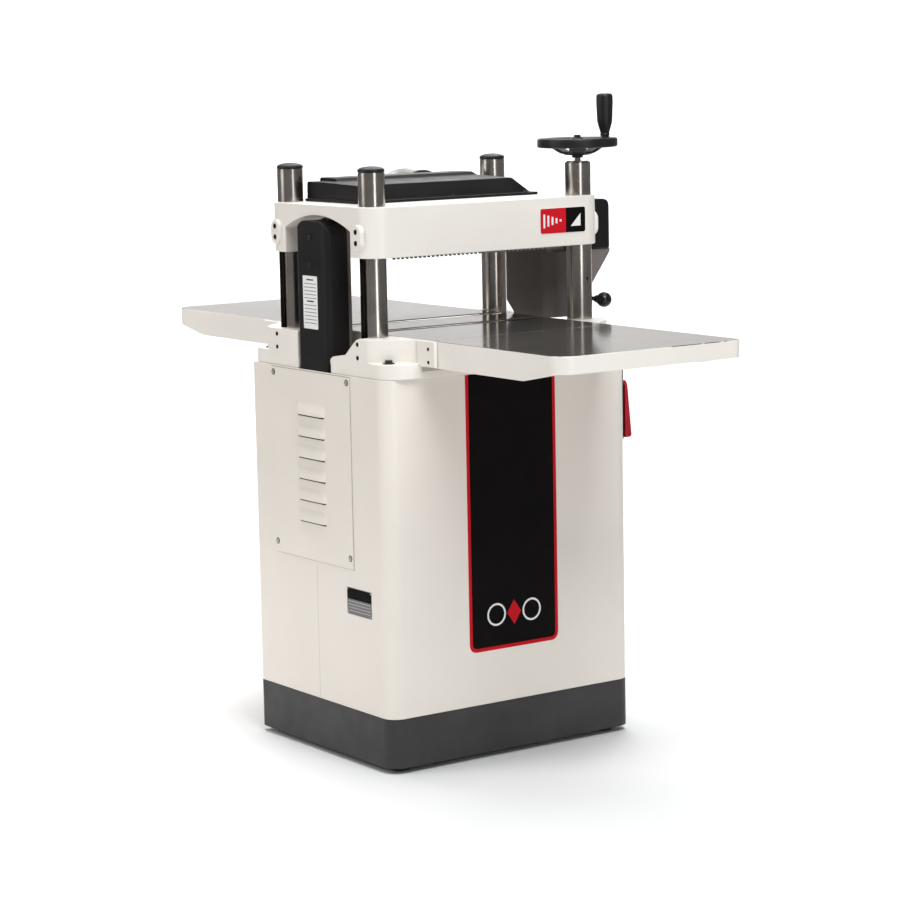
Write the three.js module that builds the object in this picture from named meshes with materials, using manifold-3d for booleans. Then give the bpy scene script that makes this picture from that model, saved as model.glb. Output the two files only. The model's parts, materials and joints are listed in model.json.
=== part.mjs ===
// A fifteen-inch four-post thickness planer on a closed cabinet, in millimetres, +Z up.
// The machine's own frame: X across the machine, the infeed end towards -Y, the floor at Z = 0.
// The exported group is then moved along X so that its bounding box is centred on the origin.
import * as THREE from 'three';
import { mergeVertices } from 'three/addons/utils/BufferGeometryUtils.js';
import Module from 'manifold-3d';

const wasm = await Module();
wasm.setup();

// ---- driving dimensions ----
const GAP = 0.3;                    // clearance left between touching pieces
const ROUND = 18;                   // sides of a round piece
const COLUMN_SIDES = 24;

const FOOT_HEIGHT = 10;
const FOOT_RADIUS = 18;
const FOOT_X = 222;
const FOOT_Y = 180;
const PLINTH_TOP = 96;
const STUD_RADIUS = 6;              // thread of the levelling feet

const CABINET_X = 261;              // half width of the cabinet
const CABINET_Y = 216;              // half depth of the cabinet
const CABINET_TOP = 678;
const FRONT_BEND = 27.5;            // bend radius of the two front corners
const REAR_BEND = 17;
const SHEET = 2.5;                  // sheet-metal thickness
const THIN_SHEET = 1.6;             // the two bolted-on panels

const PANEL_Y = [-110, 142];        // louvred side panel, from front to rear
const PANEL_Z = [343, 675];
const LOUVRE_COUNT = 6;
const LOUVRE_PITCH = 37.6;
const LOUVRE_TOP = 620;
const LOUVRE_HALF_WIDTH = 45;
const LOUVRE_CENTRE = 14;
const REAR_PANEL_X = 160;           // half width of the rear panel
const REAR_PANEL_Z = [240, 600];
const REAR_PANEL_MARGIN = 15;       // how far it laps over its opening

const LEDGE_TOP = 704;              // top of the base casting's feet
const CASTING_X = 258;
const CASTING_Y = 226;
const CASTING_FLOOR = 690;
const LEFT_SLOT = [-45, 58];        // gap between the feet for the belt guard
const RIGHT_SLOT = [-64, 82];       // gap between the feet for the gear case
const SLOT_INNER_X = 200;
const BOSS_GAP = 0.5;               // how far the feet's bosses stay below the table's surface
const FLANGE_X = 197;               // outer face of the flanges that carry the wings
const FLANGE_Y = [-272, -220];
const CHIP_HOLE = 130;              // half side of the opening under the table
const GEAR_NOTCH_FLOOR = 600;       // how far the right cabinet wall is cut down for the gear case

const TABLE_TOP = 744;
const TABLE_X = 190;                // half width of table and wings
const TABLE_Y = 258;                // half length of the centre table
const WING_END = 609.6;             // half of the 48 inch table length
const WING_CORNERS = [35, 22];      // radii of the free end's left and right corners
const WING_DEPTH = 46;
const WING_TIP_DEPTH = 29.5;
const WING_TAPER = 103;

const COLUMN_X = 220;
const COLUMN_Y = 129;
const COLUMN_RADIUS = 23;
const COLUMN_BORE = 16;
const COLUMN_TOP = 1022.5;
const COLUMN_SLOT_WIDTH = 20;
const COLUMN_SLOT_Z = [712, 960];

const HEAD_BOTTOM = 878;
const HEAD_TOP = 964.5;
const HEAD_X = 249;
const HEAD_Y = 165;
const HEAD_CORNER = 38;
const CAVITY_X = 188;               // inner half width between the bearing walls
const BEARING_WALL = 12;
const PAD_FACE = 254.5;             // outer face of the nut pads
const PAD_Z = 913;
const ARCH_Y = 103;
const ARCH_SPRING = 922;
const ARCH_CROWN = 946;

const CUTTER_Z = 907;
const CUTTER_RADIUS = 35;           // cutting circle, 2 3/4 inch across
const ROLLER_Y = 82;
const ROLLER_Z = 896.2;
const ROLLER_RADIUS = 25;
const WORKING_HALF = 184;
const BED_ROLLER_Y = 62;
const BED_ROLLER_RADIUS = 16;
const BED_ROLLER_PROUD = 0.2;       // how far the bed rollers stand above the table
const BED_JOURNAL = 6;

const SCREW_RADIUS = 8;
const SPROCKET_RADIUS = 20;
const CHAIN_Z = [586, 593];         // above the raised motor, below the lowered gear case
const CHAIN_HALF = 2.5;             // half the chain's plate height
const IDLER_X = -160;
const IDLER_RADIUS = 15;

const HOOD_X = [-200, 184];
const HOOD_REAR = 114;
const HOOD_FRONT = -62;
const HOOD_TOP = 999;
const HOOD_STEP = 6;                // the hood's rear part is raised by this
const HOOD_STEP_Y = [58, 64];       // where the step rises
const HOOD_STEP_START = 27;         // how far from the hood's left end the raised part begins
const HOOD_SLOPE_FOOT = 10;         // the sloped end, from the hood's right edge
const HOOD_SLOPE_TOP = 58;
const CHUTE_HALF = 50;              // half width of the duct to the dust port
const CHUTE_WALL = 3;
const DUST_X = 88;
const DUST_Z = 945.5;
const DUST_RADIUS = 62.5;           // 5 inch dust port
const DUST_START = 166.5;
const DUST_END = 236;
const DUST_INLET_HALF = 36;
const DUST_INLET_Z = [968, 990];

const GUARD_X = [-258, -212];
const GUARD_Y = [-38.5, 55.4];
const GUARD_Z = [600, 937];
const GUARD_CHAMFER = [11, 19];     // the guard's front edge, along X and along Y
const HANGER_X = -204.3;            // inner face of the motor hanger
const HANGER_Z = [395, 940];
const MOTOR_Y = 7;
const MOTOR_Z = 470;
const MOTOR_RADIUS = 82;
const MOTOR_X = [-204, 58];
const CUTTER_PULLEY = 23;
const MOTOR_PULLEY = 33.5;
const PULLEY_X = [-244, -216];
const SHAFT_RADIUS = 13;            // the cutterhead's journals
const ROLLER_SHAFT = 10;
const SHAFT_BORE = 20;
const SHAFT_END = 204;

const CASE_X = 206;                 // inner face of the gear case
const CASE_Y = [-58, 75];
const CASE_BOTTOM = 740;
const COVER_BOTTOM = 860;
const COVER_OUTER = 350;
const COVER_TOP = 950;
const CASE_SIDE = [276, 301];       // the case's bottom corner and its flank
const CASE_FLANK_Z = [760, 790, 856];
const KNOB_X = 293.5;
const KNOB_Y = -106.5;
const KNOB_Z = 771;
const KNOB_RADIUS = 14.5;
const KNOB_STEM = 4;
const KNOB_STEM_END = -42;          // the stem's inner end, inside its bore in the gear case
const SHIFT_TRAVEL = 10;            // each way

const SWITCH_Y = [-184, -132];
const SWITCH_Z = [524, 664];
const SWITCH_FACE = 275;            // outer face of the switch box
const PADDLE_BACK = 280;            // back of the stop paddle, clear of the box for its travel
const BUTTON_AT = [-158, 650];
const BUTTON_RADIUS = 8;
const PADDLE_Z = [528, 632];

const GLAND_AT = [-200, 180];       // where the supply cable comes out of the cabinet's back

const WHEEL_RADIUS = 71.5;
const WHEEL_Z = [1048.3, 1065.2];   // bottom and top of the rim
const HUB_BOTTOM = 1030;
const NECK_RADIUS = 5.5;            // the right front screw above its nut's reach, where the wheel sits
const HANDLE_OFFSET = 58;
const HANDLE_ANGLE = THREE.MathUtils.degToRad(-6);
const HANDLE_Z = [1067, 1142];

// ---- colours ----
const paint = (color, roughness, metalness) => ({ color, roughness, metalness });
const CREAM = paint(0xe4ded5, 0.45, 0.0);
const DARK_GREY = paint(0x3c3b3b, 0.6, 0.0);
const BLACK = paint(0x242323, 0.5, 0.0);
const GROUND_STEEL = paint(0xb9b3ab, 0.25, 1.0);
const CAST_TABLE = paint(0xb4b0aa, 0.3, 0.9);
const CUT_STEEL = paint(0x84807a, 0.4, 0.9);
const BRONZE = paint(0xa47b42, 0.4, 0.9);
const RUBBER = paint(0x1c1c1c, 0.9, 0.0);
const RED = paint(0xb82028, 0.4, 0.0);
const GREEN = paint(0x1f7a3c, 0.4, 0.0);
const GREY_METAL = paint(0x8c8a86, 0.5, 0.4);
const MOTOR_GREY = paint(0x55585a, 0.5, 0.2);

// ---- solid helpers ----
function solid(geometry) {
  const bare = geometry.clone();
  bare.deleteAttribute('normal');
  bare.deleteAttribute('uv');
  const merged = mergeVertices(bare);
  const mesh = new wasm.Mesh({
    numProp: 3,
    vertProperties: new Float32Array(merged.attributes.position.array),
    triVerts: new Uint32Array(merged.index.array),
  });
  return new wasm.Manifold(mesh);
}

function surface(manifold) {
  const mesh = manifold.getMesh();
  const geometry = new THREE.BufferGeometry();
  geometry.setAttribute('position', new THREE.BufferAttribute(new Float32Array(mesh.vertProperties), 3));
  geometry.setIndex(new THREE.BufferAttribute(new Uint32Array(mesh.triVerts), 1));
  return geometry;
}

function join(...pieces) {
  return surface(pieces.map(solid).reduce((whole, piece) => whole.add(piece)));
}

function cut(body, ...tools) {
  return surface(tools.map(solid).reduce((whole, tool) => whole.subtract(tool), solid(body)));
}

function overlapOf(a, b) {
  return surface(solid(a).intersect(solid(b)));
}

function box([x0, x1], [y0, y1], [z0, z1]) {
  const geometry = new THREE.BoxGeometry(x1 - x0, y1 - y0, z1 - z0);
  return geometry.translate((x0 + x1) / 2, (y0 + y1) / 2, (z0 + z1) / 2);
}

function outline(points) {
  return new THREE.Shape(points.map(([a, b]) => new THREE.Vector2(a, b)));
}

// A straight prism of an XY outline, between two heights.
function prismZ(shape, [z0, z1], curveSegments = 4) {
  const geometry = new THREE.ExtrudeGeometry(shape, { depth: z1 - z0, bevelEnabled: false, curveSegments });
  return geometry.translate(0, 0, z0);
}

// A straight prism of a YZ outline, between two X values.
function prismX(shape, [x0, x1], curveSegments = 4) {
  const geometry = new THREE.ExtrudeGeometry(shape, { depth: x1 - x0, bevelEnabled: false, curveSegments });
  const [x, y, z] = [new THREE.Vector3(1, 0, 0), new THREE.Vector3(0, 1, 0), new THREE.Vector3(0, 0, 1)];
  geometry.applyMatrix4(new THREE.Matrix4().makeBasis(y, z, x));
  return geometry.translate(x0, 0, 0);
}

// A straight prism of an XZ outline, between two Y values.
function prismY(shape, [y0, y1], curveSegments = 4) {
  const geometry = new THREE.ExtrudeGeometry(shape, { depth: y1 - y0, bevelEnabled: false, curveSegments });
  const [x, back, z] = [new THREE.Vector3(1, 0, 0), new THREE.Vector3(0, -1, 0), new THREE.Vector3(0, 0, 1)];
  geometry.applyMatrix4(new THREE.Matrix4().makeBasis(x, z, back));
  return geometry.translate(0, y1, 0);
}

// Round bars along Z, X and Y; the first pair is the centre in the plane across the bar.
function barZ([x, y], radius, [z0, z1], sides = ROUND) {
  const geometry = new THREE.CylinderGeometry(radius, radius, z1 - z0, sides);
  return geometry.rotateX(Math.PI / 2).translate(x, y, (z0 + z1) / 2);
}

function barX([y, z], radius, [x0, x1], sides = ROUND) {
  const geometry = new THREE.CylinderGeometry(radius, radius, x1 - x0, sides);
  return geometry.rotateZ(Math.PI / 2).translate((x0 + x1) / 2, y, z);
}

function barY([x, z], radius, [y0, y1], sides = ROUND) {
  return new THREE.CylinderGeometry(radius, radius, y1 - y0, sides).translate(x, (y0 + y1) / 2, z);
}

// Profile points of [radius, height] moved up by z.
function raised(z, points) {
  return points.map(([radius, height]) => [radius, z + height]);
}

// A turned piece about the Z axis through (x, y), from a profile of [radius, height] points.
function turnedZ([x, y], profile, sides = ROUND) {
  const points = profile.map(([r, z]) => new THREE.Vector2(r, z));
  return new THREE.LatheGeometry(points, sides).rotateX(Math.PI / 2).translate(x, y, 0);
}

// A turned piece about the X axis through (y, z), from a profile of [radius, x] points.
function turnedX([y, z], profile, sides = ROUND) {
  const points = profile.map(([r, along]) => new THREE.Vector2(r, along));
  return new THREE.LatheGeometry(points, sides).rotateZ(-Math.PI / 2).translate(0, y, z);
}

// A rectangle with one radius for each corner, from the low-low corner anticlockwise; 0 is sharp.
function roundedRectangle([x0, x1], [y0, y1], radii) {
  const shape = new THREE.Shape();
  const corners = [[x0, y0, 1, 1], [x1, y0, -1, 1], [x1, y1, -1, -1], [x0, y1, 1, -1]];
  corners.forEach(([x, y, inX, inY], i) => {
    const radius = radii[i];
    if (radius === 0 && i === 0) {
      shape.moveTo(x, y);
    } else if (radius === 0) {
      shape.lineTo(x, y);
    } else {
      const start = Math.PI + (i * Math.PI) / 2;
      shape.absarc(x + inX * radius, y + inY * radius, radius, start, start + Math.PI / 2, false);
    }
  });
  return shape;
}

function mirrorX(geometry) {
  const mirrored = geometry.clone().scale(-1, 1, 1);
  return flipFaces(mirrored);
}

function mirrorY(geometry) {
  const mirrored = geometry.clone().scale(1, -1, 1);
  return flipFaces(mirrored);
}

// Reverses the winding of every triangle, which a mirror turns inside out.
function flipFaces(geometry) {
  const flat = geometry.index ? geometry.toNonIndexed() : geometry;
  const position = flat.attributes.position;
  for (let i = 0; i < position.count; i += 3) {
    const a = new THREE.Vector3().fromBufferAttribute(position, i);
    const b = new THREE.Vector3().fromBufferAttribute(position, i + 1);
    position.setXYZ(i, b.x, b.y, b.z);
    position.setXYZ(i + 1, a.x, a.y, a.z);
  }
  return flat;
}

// ---- the group ----
const machine = new THREE.Group();

function place(name, geometry, colours) {
  const mesh = new THREE.Mesh(geometry, new THREE.MeshStandardMaterial(colours));
  mesh.name = name;
  machine.add(mesh);
}

const CORNERS = [
  ['lf', -1, -1],
  ['rf', 1, -1],
  ['lr', -1, 1],
  ['rr', 1, 1],
];

// ---- stand: feet, plinth, cabinet ----
function cabinetOutline(inset) {
  const front = FRONT_BEND - inset;
  const rear = REAR_BEND - inset;
  const half = [CABINET_X - inset, CABINET_Y - inset];
  return roundedRectangle([-half[0], half[0]], [-half[1], half[1]], [front, front, rear, rear]);
}

function foot(x, y) {
  const chamfer = 2;
  const studTop = FOOT_HEIGHT + 22;
  const profile = [
    [0, 0],
    [FOOT_RADIUS - chamfer, 0],
    [FOOT_RADIUS, chamfer],
    [FOOT_RADIUS, FOOT_HEIGHT - GAP],
    [STUD_RADIUS, FOOT_HEIGHT - GAP],
    [STUD_RADIUS, studTop],
    [0, studTop],
  ];
  return turnedZ([x, y], profile, 14);
}

function plinth() {
  const floor = 4;
  const outer = prismZ(cabinetOutline(0), [FOOT_HEIGHT, PLINTH_TOP]);
  const inner = prismZ(cabinetOutline(SHEET), [FOOT_HEIGHT + floor, PLINTH_TOP + 1]);
  const [openX, openY] = [170, 150];
  const through = [0, FOOT_HEIGHT + 30];
  const opening = box([-openX, openX], [-openY, openY], through);
  const studHoles = CORNERS.map(([, sx, sy]) =>
    barZ([sx * FOOT_X, sy * FOOT_Y], STUD_RADIUS + 0.5, through, 16));
  return cut(outer, inner, opening, ...studHoles);
}

function cabinetShell() {
  const low = PLINTH_TOP + GAP;
  const outer = prismZ(cabinetOutline(0), [low, CABINET_TOP]);
  const inner = prismZ(cabinetOutline(SHEET), [low - 1, CABINET_TOP - SHEET]);
  const roof = [CABINET_TOP - 20, CABINET_TOP + 1];
  const guardSlot = box([-CABINET_X + SHEET, -SLOT_INNER_X + 4], LEFT_SLOT, roof);
  const gearNotch = box([SLOT_INNER_X, CABINET_X + 5], RIGHT_SLOT, [GEAR_NOTCH_FLOOR, CABINET_TOP + 1]);
  const margin = 13;
  const panelHole = box(
    [-CABINET_X - 1, -CABINET_X + 10],
    [PANEL_Y[0] + margin, PANEL_Y[1] - margin],
    [PANEL_Z[0] + margin, PANEL_Z[1] - margin],
  );
  const rearHalf = REAR_PANEL_X - REAR_PANEL_MARGIN;
  const rearHole = box(
    [-rearHalf, rearHalf],
    [CABINET_Y - 10, CABINET_Y + 1],
    [REAR_PANEL_Z[0] + REAR_PANEL_MARGIN, REAR_PANEL_Z[1] - REAR_PANEL_MARGIN],
  );
  const screwHoles = CORNERS.map(([, sx, sy]) =>
    barZ([sx * COLUMN_X, sy * COLUMN_Y], SCREW_RADIUS + 3, roof, 16));
  return cut(outer, inner, guardSlot, gearNotch, panelHole, rearHole, ...screwHoles);
}

// A sheet with pressed louvres: each one is a wedge that opens downwards over its slit.
function louvrePanel() {
  const face = -CABINET_X - GAP;
  const front = face - THIN_SHEET;
  const root = front + 0.2;
  const lip = front - 7;
  const lipThick = 1.5;
  const rise = 21;
  const slit = 6;
  let panel = box([front, face], PANEL_Y, PANEL_Z);
  const across = [LOUVRE_CENTRE - LOUVRE_HALF_WIDTH, LOUVRE_CENTRE + LOUVRE_HALF_WIDTH];
  for (let i = 0; i < LOUVRE_COUNT; i += 1) {
    const top = LOUVRE_TOP - i * LOUVRE_PITCH;
    const wedge = outline([
      [root, top],
      [lip, top - rise],
      [lip + lipThick, top - rise],
      [root, top - 5],
    ]);
    const ends = [across[0] + 2, across[1] - 2];
    const opening = box([face - 20, face + 1], ends, [top - rise - slit / 2, top - rise + slit]);
    const cheek = outline([
      [root, top - 2],
      [lip, top - rise],
      [root, top - rise],
    ]);
    panel = cut(panel, opening);
    panel = join(panel, prismY(wedge, across), prismY(cheek, [across[0], ends[0]]),
      prismY(cheek, [ends[1], across[1]]));
  }
  return panel;
}

function rearPanel() {
  const front = CABINET_Y + GAP;
  return box([-REAR_PANEL_X, REAR_PANEL_X], [front, front + THIN_SHEET], REAR_PANEL_Z);
}

// ---- base casting, table and wings ----
// One foot of the casting on the left, infeed side: a ledge and a boss. The boss slopes down to
// the ledge at the slot, or stands upright there.
function castingFoot(slotEdge, upright = false) {
  const inner = -TABLE_X - GAP;
  const [frontCorner, slotCorner] = [45, 4];
  const ledge = prismZ(
    roundedRectangle([-CASTING_X, inner], [-CASTING_Y, slotEdge], [frontCorner, 0, 0, slotCorner]),
    [CABINET_TOP + GAP, LEDGE_TOP],
  );
  const tip = -236;
  const nose = [-FLANGE_X, -216];
  const shoulder = [-250, -170];
  const plan = new THREE.Shape();
  plan.moveTo(inner, slotEdge);
  plan.lineTo(inner, tip);
  plan.lineTo(...nose);
  plan.bezierCurveTo(nose[0] - 17, nose[1] + 20, shoulder[0] + 14, shoulder[1] - 20, ...shoulder);
  plan.lineTo(-CASTING_X, shoulder[1] + 18);
  plan.lineTo(-CASTING_X, slotEdge);
  const flush = TABLE_TOP - BOSS_GAP;
  const buried = LEDGE_TOP - 6;
  const front = -CASTING_Y - 14;
  const slopeDown = [
    [slotEdge - 8, LEDGE_TOP + 3],
    [-93, LEDGE_TOP + 9],
    [-118, flush - 9.5],
    [-128, flush - 2.5],
    [-137, flush],
  ];
  const side = outline([
    [front, buried],
    [slotEdge, buried],
    ...(upright ? [[slotEdge, flush]] : slopeDown),
    [front, flush],
  ]);
  const boss = overlapOf(prismZ(plan, [buried, flush]), prismX(side, [-CASTING_X - 1, inner + 1]));
  const flange = box([-FLANGE_X, inner], FLANGE_Y, [LEDGE_TOP - 4, flush]);
  return join(ledge, boss, flange);
}

function baseCasting() {
  const floor = box([-SLOT_INNER_X, SLOT_INNER_X], [-CASTING_Y, CASTING_Y], [CABINET_TOP + GAP, CASTING_FLOOR]);
  const through = [CABINET_TOP - 1, CASTING_FLOOR + 1];
  const chipHole = box([-CHIP_HOLE, CHIP_HOLE], [-CHIP_HOLE, CHIP_HOLE], through);
  const wallHalf = TABLE_X - 5;
  const walls = [-1, 1].map((side) => {
    const y = [side * (CASTING_Y - 30), side * (CASTING_Y - 10)].sort((a, b) => a - b);
    return box([-wallHalf, wallHalf], y, [CASTING_FLOOR - 1, LEDGE_TOP - GAP]);
  });
  const feet = [
    castingFoot(LEFT_SLOT[0]),
    mirrorX(castingFoot(RIGHT_SLOT[0])),
    mirrorY(castingFoot(-LEFT_SLOT[1], true)),
    mirrorX(mirrorY(castingFoot(-RIGHT_SLOT[1]))),
  ];
  const sockets = CORNERS.map(([, sx, sy]) =>
    barZ([sx * COLUMN_X, sy * COLUMN_Y], COLUMN_RADIUS + 0.6, [CASTING_FLOOR, TABLE_TOP + 1]));
  const screwHoles = CORNERS.map(([, sx, sy]) =>
    barZ([sx * COLUMN_X, sy * COLUMN_Y], SCREW_RADIUS + 2, through, 12));
  return cut(join(cut(floor, chipHole), ...walls, ...feet), ...sockets, ...screwHoles);
}

const BED_AXLE_Z = TABLE_TOP + BED_ROLLER_PROUD - BED_ROLLER_RADIUS;

function mainTable() {
  const slab = box([-TABLE_X, TABLE_X], [-TABLE_Y, TABLE_Y], [LEDGE_TOP, TABLE_TOP]);
  const pockets = [-1, 1].map((side) => {
    const y = side * BED_ROLLER_Y;
    const half = BED_ROLLER_RADIUS + 1;
    return box([-WORKING_HALF, WORKING_HALF], [y - half, y + half], [LEDGE_TOP + 5, TABLE_TOP + 1]);
  });
  const bearings = [-1, 1].map((side) =>
    barX([side * BED_ROLLER_Y, BED_AXLE_Z], BED_JOURNAL + 0.5, [-TABLE_X - 10, TABLE_X + 10], 16));
  const [hollowX, plate] = [TABLE_X - 20, 14];
  const hollows = [-1, 1].map((side) => {
    const y = [side * 90, side * 190].sort((a, b) => a - b);
    return box([-hollowX, hollowX], y, [LEDGE_TOP - 1, TABLE_TOP - plate]);
  });
  return cut(slab, ...pockets, ...bearings, ...hollows);
}

function bedRoller(y) {
  const half = WORKING_HALF - 1;
  const end = half + 5;
  const profile = [
    [0, -end],
    [BED_JOURNAL, -end],
    [BED_JOURNAL, -half],
    [BED_ROLLER_RADIUS, -half],
    [BED_ROLLER_RADIUS, half],
    [BED_JOURNAL, half],
    [BED_JOURNAL, end],
    [0, end],
  ];
  return turnedX([y, BED_AXLE_Z], profile);
}

// The infeed wing: a ribbed casting whose rim gets shallower towards its free end.
function wing() {
  const root = -TABLE_Y - GAP;
  const [wall, rootWall, plate] = [9, 14, 11];
  const rib = [-442, -433];
  const low = TABLE_TOP - WING_DEPTH;
  const corners = [...WING_CORNERS, 0, 0];
  const outer = prismZ(roundedRectangle([-TABLE_X, TABLE_X], [-WING_END, root], corners), [low, TABLE_TOP]);
  const pockets = [[-WING_END + wall, rib[0]], [rib[1], root - rootWall]].map((y, i) => {
    const radii = i === 0 ? [...WING_CORNERS.map((radius) => radius - wall), 5, 5] : [5, 5, 5, 5];
    const shape = roundedRectangle([-TABLE_X + wall, TABLE_X - wall], y, radii);
    return prismZ(shape, [low - 1, TABLE_TOP - plate], 4);
  });
  const taper = outline([
    [-WING_END - 1, low - 1],
    [-WING_END + WING_TAPER, low - 1],
    [-WING_END + WING_TAPER, low],
    [-WING_END + 18, TABLE_TOP - WING_TIP_DEPTH],
    [-WING_END - 1, TABLE_TOP - WING_TIP_DEPTH],
  ]);
  return cut(outer, ...pockets, prismX(taper, [-TABLE_X - 1, TABLE_X + 1]));
}

// ---- columns and the elevating gear ----
function column(sx, sy) {
  const centre = [sx * COLUMN_X, sy * COLUMN_Y];
  const low = CASTING_FLOOR + GAP;
  const rod = barZ(centre, COLUMN_RADIUS, [low, COLUMN_TOP], COLUMN_SIDES);
  const bore = barZ(centre, COLUMN_BORE, [low - 1, COLUMN_TOP + 1]);
  const x = [sx * COLUMN_X, sx * (COLUMN_X + COLUMN_RADIUS + 5)].sort((a, b) => a - b);
  const half = COLUMN_SLOT_WIDTH / 2;
  const slot = box(x, [centre[1] - half, centre[1] + half], COLUMN_SLOT_Z);
  return cut(rod, bore, slot);
}

function columnCap(sx, sy) {
  const plug = COLUMN_BORE - GAP;
  const low = COLUMN_TOP + GAP;
  const plugLength = 10;
  const dome = [[23.5, 0], [23.5, 3.2], [20.5, 5.6], [15, 7.8], [8, 9.3], [0, 9.8]];
  const profile = [
    [0, low - plugLength],
    [plug, low - plugLength],
    [plug, low],
    ...raised(low, dome),
  ];
  return turnedZ([sx * COLUMN_X, sy * COLUMN_Y], profile);
}

function topBushing() {
  const bore = NECK_RADIUS + GAP;
  const low = COLUMN_TOP + GAP;
  const [plug, rim] = [COLUMN_BORE - GAP, 20];
  const [bottom, top] = [low - 12, low + 1.5];
  const profile = [
    [bore, bottom],
    [plug, bottom],
    [plug, low],
    [rim, low],
    [rim, top],
    [bore, top],
    [bore, bottom],
  ];
  return turnedZ([COLUMN_X, -COLUMN_Y], profile);
}

// A lead screw with its chain sprocket at the bottom; above the shoulder it is turned down to a neck.
function leadScrew(sx, sy, shoulder, top) {
  const wheel = SPROCKET_RADIUS - CHAIN_HALF - GAP;
  const hub = 13;
  const [low, high] = [CHAIN_Z[0] + 1, CHAIN_Z[1] - 1];
  const profile = [
    [0, low - 8],
    [SCREW_RADIUS, low - 8],
    [SCREW_RADIUS, low - 4],
    [hub, low - 4],
    [hub, low],
    [wheel, low],
    [wheel, high],
    [SCREW_RADIUS, high],
    [SCREW_RADIUS, shoulder],
    [NECK_RADIUS, shoulder],
    [NECK_RADIUS, top],
    [0, top],
  ];
  return turnedZ([sx * COLUMN_X, sy * COLUMN_Y], profile, 16);
}

// A bronze nut inside the column; its key reaches out through the slot.
function leadNut(sx, sy) {
  const [x, y] = [sx * COLUMN_X, sy * COLUMN_Y];
  const z = [PAD_Z - 20, PAD_Z + 20];
  const sleeve = barZ([x, y], COLUMN_BORE - 2 * GAP, z, 16);
  const keyX = [x + sx * 10, x + sx * (COLUMN_RADIUS - 2.2)].sort((a, b) => a - b);
  const half = COLUMN_SLOT_WIDTH / 2 - 1;
  const key = box(keyX, [y - half, y + half], z);
  const thread = barZ([x, y], SCREW_RADIUS + GAP, [z[0] - 1, z[1] + 1], 16);
  return cut(join(sleeve, key), thread);
}

// The tangent from one circle to the next; turn is +1 where the loop runs counter-clockwise round it.
function tangentAngle(from, to) {
  const dx = to.x - from.x;
  const dy = to.y - from.y;
  const lean = Math.asin((from.turn * from.r - to.turn * to.r) / Math.hypot(dx, dy));
  return Math.atan2(dy, dx) + lean;
}

// A closed loop round a list of circles, each passed on the side that its turn gives.
function loopPoints(circles, steps) {
  const points = [];
  circles.forEach((circle, i) => {
    const before = circles[(i + circles.length - 1) % circles.length];
    const after = circles[(i + 1) % circles.length];
    const start = tangentAngle(before, circle) - circle.turn * Math.PI / 2;
    let sweep = tangentAngle(circle, after) - circle.turn * Math.PI / 2 - start;
    while (circle.turn * sweep < 0) {
      sweep += circle.turn * 2 * Math.PI;
    }
    for (let k = 0; k <= steps; k += 1) {
      const angle = start + (sweep * k) / steps;
      points.push([circle.x + circle.r * Math.cos(angle), circle.y + circle.r * Math.sin(angle)]);
    }
  });
  return points;
}

function loopBand(circles, halfThickness, steps) {
  const shifted = (offset) => circles.map((c) => ({ ...c, r: c.r + c.turn * offset }));
  const band = outline(loopPoints(shifted(halfThickness), steps));
  const inside = loopPoints(shifted(-halfThickness), steps);
  band.holes.push(new THREE.Path(inside.map(([a, b]) => new THREE.Vector2(a, b))));
  return band;
}

function elevationChain() {
  const sprocket = (sx, sy) => ({ x: sx * COLUMN_X, y: sy * COLUMN_Y, r: SPROCKET_RADIUS, turn: 1 });
  const idler = { x: IDLER_X, y: 0, r: IDLER_RADIUS, turn: -1 };
  const circles = [sprocket(-1, -1), sprocket(1, -1), sprocket(1, 1), sprocket(-1, 1), idler];
  return prismZ(loopBand(circles, CHAIN_HALF, 6), CHAIN_Z);
}

function chainIdler() {
  const rim = IDLER_RADIUS - CHAIN_HALF - GAP;
  const axle = 5;
  const [low, high] = [CHAIN_Z[0] + 1, CHAIN_Z[1] - 1];
  const ceiling = CABINET_TOP - SHEET - GAP;
  const profile = [
    [0, low - 5],
    [axle, low - 5],
    [axle, low],
    [rim, low],
    [rim, high],
    [axle, high],
    [axle, ceiling],
    [0, ceiling],
  ];
  return turnedZ([IDLER_X, 0], profile, 18);
}

function handwheel() {
  const bore = NECK_RADIUS + GAP;
  const [low, high] = WHEEL_Z;
  const hub = raised(HUB_BOTTOM, [[bore, 0], [10, 0], [10, 4.4], [20, 4.4]]);
  const underside = raised(low, [[38, -6.3], [47, 0], [67, 0], [WHEEL_RADIUS, 3]]);
  const rim = raised(high, [[WHEEL_RADIUS, -4], [66, 0], [57, -3]]);
  const bowl = raised(low, [[50, 6], [36, -0.5], [20, -7], [15, -5]]);
  const collar = [[14, high - 1], [bore, high - 1], [bore, HUB_BOTTOM]];
  const profile = [...hub, ...underside, ...rim, ...bowl, ...collar];
  const dish = turnedZ([0, 0], profile, 24);
  const spokes = 3;
  const windows = [];
  for (let i = 0; i < spokes; i += 1) {
    const middle = HANDLE_ANGLE + ((i + 0.5) * 2 * Math.PI) / spokes;
    const [outerRadius, outerSpread] = [50, 0.72];
    const [innerRadius, innerSpread] = [27, 0.576];
    const window = new THREE.Shape();
    window.absarc(0, 0, outerRadius, middle - outerSpread, middle + outerSpread, false);
    window.absarc(0, 0, innerRadius, middle + innerSpread, middle - innerSpread, true);
    windows.push(prismZ(window, [HUB_BOTTOM - 1, high + 5], 5));
  }
  const at = [HANDLE_OFFSET * Math.cos(HANDLE_ANGLE), HANDLE_OFFSET * Math.sin(HANDLE_ANGLE)];
  const [spindleRadius, bossRadius] = [3.5, 9];
  const spindle = barZ(at, spindleRadius, [low + 6, HANDLE_Z[1] - 14], 12);
  const boss = barZ(at, bossRadius, [low + 1, high - 1], 16);
  return join(cut(dish, ...windows), boss, spindle).translate(COLUMN_X, -COLUMN_Y, 0);
}

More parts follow.
